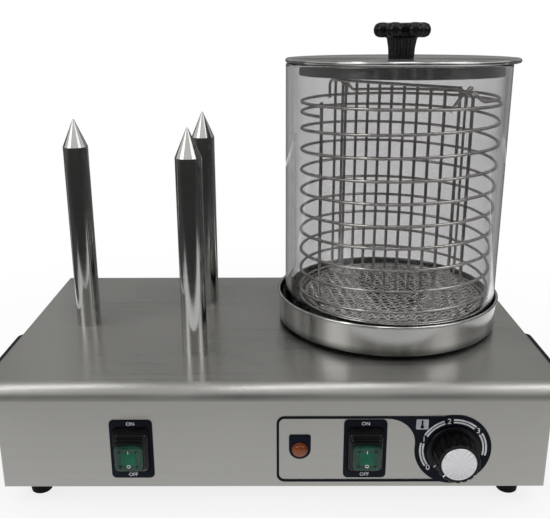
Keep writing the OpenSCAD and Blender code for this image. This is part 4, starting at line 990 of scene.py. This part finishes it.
class WARMER_OT_fittings(Operator):
    """Make the handles, rubber feet and screw heads"""

    bl_idname = "warmer.fittings"
    bl_label = "Handles, feet and screws"

    def execute(self, context):
        for side, sign in (("left", -1), ("right", 1)):
            self.handle(side, sign)
        self.feet()
        self.screws()
        return {"FINISHED"}

    def handle(self, side, sign):
        """A moulded bar with two feet and soft edges."""
        low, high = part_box(f"{side}_handle")
        root, mid = low.x if sign > 0 else high.x, (low.y + high.y) / 2
        reach, half = high.x - low.x, (high.y - low.y) / 2
        bar, foot, outside, inside = 8 * MM, 15 * MM, 7 * MM, 4 * MM
        turn_x, turn_y = reach - outside, half - outside
        hole_x, hole_y = reach - bar - inside, half - foot - inside
        pairs = [(0, -half)] + arc((turn_x, -turn_y), outside, 270, 360, 8)
        pairs += arc((turn_x, turn_y), outside, 0, 90, 8) + [(0, half), (0, half - foot)]
        pairs += arc((hole_x, hole_y), inside, 90, 0, 5)
        pairs += arc((hole_x, -hole_y), inside, 0, -90, 5) + [(0, foot - half)]
        points = [Vector((root + sign * x, mid + y, low.z)) for x, y in pairs]
        handle = slab(f"{side}_grip", points, UP * (high.z - low.z))
        soften(handle, 2.2 * MM, 4, 50)
        settle(handle, "housing", "black_grip", f"{side}_handle", 40)

    def feet(self):
        """Four moulded rubber feet with a screw well."""
        low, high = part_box("feet")
        tall, radius = high.z - low.z, 11 * MM
        line = mm((0, 8), (5.3, 8), (5.5, 0.6), (6.1, 0), (8.2, 0), (9, 0.8))
        line += [(10.6 * MM, tall - 3 * MM), (radius, tall - 2.2 * MM), (radius, tall), (0, tall)]
        foot = turned("foot", line, low + Vector((radius, radius, 0)), steps=48, closed=False)
        wide, deep = high.x - low.x - 2 * radius, high.y - low.y - 2 * radius
        copies = [copy_of(foot, Vector((x, y, 0))) for x, y in ((0, deep), (wide, 0), (wide, deep))]
        settle(join("rubber_feet", [foot, *copies]), "housing", "black_rubber", "feet")

    def screws(self):
        """Pan-head screws with a cross recess, on the rear panel and the two sides."""
        rear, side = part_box("rear_screws")[1].y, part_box("base_screws")[1].x
        columns, levels, ends = (-210, 0, 210), (26.5, 119.5), (-81, 94.5)
        back = [Vector((x * MM, rear, z * MM)) for x in columns for z in levels]
        heads = self.heads(back, -OUT)
        settle(join("rear_heads", heads), "housing", "zinc_steel", "rear_screws", 40)
        heads = []
        for sign in (-1, 1):
            flank = [Vector((sign * side, y * MM, levels[0] * MM)) for y in ends]
            heads += self.heads(flank, Vector((sign, 0, 0)))
        settle(join("side_heads", heads), "housing", "zinc_steel", "base_screws", 40)

    def heads(self, tops, way):
        """One screw head that faces one way, and its copies, with their tops at given places."""
        radius, tall, slot, arm, deep = 3.6 * MM, 2.2 * MM, 0.55 * MM, 2.1 * MM, 1.1 * MM
        across = UP.cross(way)
        line = [(radius * r, h * MM) for r, h in ((0, 0), (1, 0), (1, 0.5), (0.93, 1.2), (0.72, 1.85))]
        line += [(radius * 0.4, tall - 0.04 * MM), (0, tall)]
        head = turned("head", line, tops[0] - way * tall, way, 32, closed=False)
        pairs = [(slot, slot), (slot, arm), (-slot, arm), (-slot, slot), (-arm, slot), (-arm, -slot),
                 (-slot, -slot), (-slot, -arm), (slot, -arm), (slot, -slot), (arm, -slot), (arm, slot)]
        floor = tops[0] - way * deep
        cross = slab("cross", [floor + across * x + UP * z for x, z in pairs], way * 2 * deep)
        modify(head, "BOOLEAN", operation="DIFFERENCE", object=cross, solver="EXACT")
        bpy.data.objects.remove(cross)
        return [head] + [copy_of(head, top - tops[0]) for top in tops[1:]]


class WARMER_OT_stage(Operator):
    """Set the pale floor, the soft light and the camera"""

    bl_idname = "warmer.stage"
    bl_label = "Stage"

    def execute(self, context):
        scene = context.scene
        scene.view_settings.view_transform = "Standard"
        self.world(scene)
        self.floor()
        self.cards()
        self.lamps(scene)
        self.camera(scene)
        return {"FINISHED"}

    def world(self, scene):
        """White to the eye, softer as a light."""
        scene.world = bpy.data.worlds.new("studio")
        scene.world.use_nodes = True
        nodes = Nodes(scene.world.node_tree)
        back = nodes.tree.nodes["Background"].inputs
        back["Color"].default_value = (1, 1, 1, 1)
        nodes.link(nodes.spread(nodes.seen(), 0.6, 1.0, 0.0, 1.0), back["Strength"])

    def paint(self, name):
        """A bare material, and its nodes."""
        paint = bpy.data.materials.new(name)
        paint.use_nodes = True
        paint.node_tree.nodes.remove(paint.node_tree.nodes["Principled BSDF"])
        return paint, Nodes(paint.node_tree)

    def cover(self, nodes, under, share, grey):
        """Lays a plain glow over a shader by a share."""
        glow = nodes.add("ShaderNodeEmission", Color=(grey, grey, grey, 1))
        mix = nodes.add("ShaderNodeMixShader")
        nodes.link(share, mix.inputs["Fac"])
        nodes.link(under.outputs["BSDF"], mix.inputs[1])
        nodes.link(glow.outputs["Emission"], mix.inputs[2])
        nodes.link(mix.outputs["Shader"], nodes.tree.nodes["Material Output"].inputs["Surface"])

    def board(self, name, paint, size, place=(0, 0, 0), turn=(0, 0, 0)):
        """A flat board of the stage."""
        deselect()
        bpy.ops.mesh.primitive_plane_add(size=1, location=place, rotation=turn)
        board = bpy.context.object
        board.name = name
        board.scale = (*size, 1)
        bpy.ops.object.transform_apply(location=False, rotation=False, scale=True)
        board.data.materials.append(paint)
        return board

    def floor(self):
        """A pale floor that keeps the shadow, and grows whiter away from the object."""
        paint, nodes = self.paint("studio_floor")
        far = nodes.add("ShaderNodeVectorMath", operation="LENGTH")
        nodes.link(nodes.add("ShaderNodeTexCoord").outputs["Object"], far.inputs[0])
        level = nodes.spread(far.outputs["Value"], 0.8, 1.0, 0.3, 0.75)
        matt = nodes.add("ShaderNodeBsdfDiffuse", Color=(0.9, 0.9, 0.9, 1))
        self.cover(nodes, matt, nodes.combine("MULTIPLY", nodes.seen(), level), 1.0)
        self.board("studio_floor", paint, (30, 30))

    def card(self, name, place, size, turn, grey):
        """A grey card that only mirrored rays see, also the ones that then pass through glass."""
        both_walls = 4.0
        paint, nodes = self.paint(name)
        path = nodes.add("ShaderNodeLightPath").outputs
        walls = nodes.combine("MULTIPLY", path["Glossy Depth"], path["Transmission Depth"])
        through = nodes.spread(walls, 0.0, 1.0, 0.0, both_walls)
        mirrored = nodes.combine("MAXIMUM", path["Is Reflection Ray"], through)
        self.cover(nodes, nodes.add("ShaderNodeBsdfTransparent"), mirrored, grey)
        card = self.board(name, paint, size, place, turn)
        card.visible_camera = False
        card.visible_diffuse = False
        card.visible_shadow = False

    def cards(self):
        """Grey cards round the room and on the floor, which give the metal its tones."""
        right, flat = math.pi / 2, 2 * MM
        wall, side, lying = (right, 0, 0), (right, 0, right), (0, 0, 0)
        for row in (
            ("card_back", (0, 1.6, 1.4), (6, 1.7), wall, 0.36),
            ("card_back_low", (0, 1.61, 0.28), (6, 0.54), wall, 0.14),
            ("card_back_left", (-0.78, 1.58, 1.1), (0.2, 1.1), wall, 0.75),
            ("card_back_right", (1.1, 1.58, 1.1), (0.12, 1.1), wall, 0.6),
            ("card_front", (0, -1.9, 0.62), (5, 1.34), wall, 0.07),
            ("strip_a", (-1.15, -1.88, 0.85), (0.25, 0.9), wall, 0.5),
            ("strip_b", (-0.35, -1.88, 0.85), (0.14, 0.9), wall, 0.6),
            ("strip_c", (0.3, -1.88, 0.85), (0.1, 0.9), wall, 0.7),
            ("strip_d", (0.85, -1.88, 0.85), (0.16, 0.9), wall, 0.6),
            ("card_left", (-1.9, 0, 0.4), (4, 0.8), side, 0.14),
            ("card_right", (1.9, 0, 0.4), (4, 0.8), side, 0.14),
            ("card_top", (0, 0.25, 2.3), (6, 3.9), lying, 0.4),
            ("card_table", (0, -0.34, flat), (1.4, 0.4), lying, 0.85),
            ("card_floor_front", (0, -1.42, flat), (5, 1.76), lying, 0.05),
            ("card_floor_left", (-1.55, -0.1, flat), (1.9, 0.88), lying, 0.08),
            ("card_floor_right", (1.55, -0.1, flat), (1.9, 0.88), lying, 0.08),
            ("card_floor_back", (0, 1.0, flat), (5, 1.2), lying, 0.14),
        ):
            self.card(*row)

    def lamps(self, scene):
        """A large soft lamp overhead, one each side and three slanted tubes."""
        lean = math.radians(-32)
        target = Vector((0.02, 0, 0.12))
        for name, place, size, power, turn in (
            ("lamp_over", (0.0, -0.3, 1.9), (2.0, 1.2), 3, 0.0),
            ("lamp_left", (-1.5, -1.0, 1.3), (1.0, 1.4), 8, 0.0),
            ("lamp_right", (1.5, -0.9, 1.4), (1.0, 1.4), 7, 0.0),
            ("tube_left", (-0.75, -0.3, 1.8), (0.17, 1.0), 2.8, lean),
            ("tube_mid", (0.1, -0.3, 1.8), (0.17, 1.0), 2.8, lean),
            ("tube_right", (0.88, -0.3, 1.8), (0.17, 1.0), 2.8, lean),
        ):
            lamp = bpy.data.lights.new(name, "AREA")
            lamp.shape = "RECTANGLE"
            lamp.size, lamp.size_y = size
            lamp.energy = power
            stand = bpy.data.objects.new(name, lamp)
            scene.collection.objects.link(stand)
            stand.location = place
            aim = (target - Vector(place)).to_track_quat("-Z", "Y").to_euler()
            stand.rotation_euler = (0, 0, turn) if turn else aim

    def camera(self, scene):
        """The camera at the photograph's angle. Its focal length and width are in pixels."""
        focal, wide, sensor = 741.611, 550, 36
        place = (0.003894, -0.681193, 0.397107)
        pitch, yaw, roll = (math.radians(a) for a in (16.946, -0.222, -0.199))
        turn = Matrix.Rotation(-yaw, 4, "Z") @ Matrix.Rotation(math.pi / 2 - pitch, 4, "X")
        eye = bpy.data.cameras.new("camera")
        eye.sensor_fit = "HORIZONTAL"
        eye.sensor_width = sensor
        eye.lens = focal * sensor / wide
        eye.clip_start = 0.01
        stand = bpy.data.objects.new("camera", eye)
        scene.collection.objects.link(stand)
        stand.matrix_world = Matrix.Translation(place) @ turn @ Matrix.Rotation(roll, 4, "Z")
        scene.camera = stand


class WARMER_PT_sidebar(Panel):
    """Lists the pieces, sizes and colours"""

    bl_label = "Hot dog warmer"
    bl_idname = "WARMER_PT_sidebar"
    bl_space_type = "VIEW_3D"
    bl_region_type = "UI"
    bl_category = "Warmer"

    def draw(self, context):
        for operator in OPERATORS:
            self.layout.operator(operator.bl_idname)
        for group in (context.scene.warmer_sizes, context.scene.warmer_colours):
            for name in group.__annotations__:
                self.layout.prop(group, name)


OPERATORS = (
    WARMER_OT_finishes, WARMER_OT_basket, WARMER_OT_lid, WARMER_OT_glass, WARMER_OT_switches,
    WARMER_OT_dial, WARMER_OT_pilot_lamp, WARMER_OT_fittings, WARMER_OT_stage,
)
CLASSES = (WarmerSizes, WarmerColours, *OPERATORS, WARMER_PT_sidebar)


def register():
    """Adds the classes, and the sizes and colours to the scene."""
    for cls in CLASSES:
        bpy.utils.register_class(cls)
    bpy.types.Scene.warmer_sizes = PointerProperty(type=WarmerSizes)
    bpy.types.Scene.warmer_colours = PointerProperty(type=WarmerColours)


def unregister():
    """Takes away what register added."""
    del bpy.types.Scene.warmer_colours
    del bpy.types.Scene.warmer_sizes
    for cls in reversed(CLASSES):
        bpy.utils.unregister_class(cls)


def main():
    """Makes every piece in order."""
    register()
    bpy.ops.warmer.finishes()
    bpy.ops.warmer.basket()
    bpy.ops.warmer.lid()
    bpy.ops.warmer.glass()
    bpy.ops.warmer.switches()
    bpy.ops.warmer.dial()
    bpy.ops.warmer.pilot_lamp()
    bpy.ops.warmer.fittings()
    bpy.ops.warmer.stage()


if __name__ == "__main__":
    main()
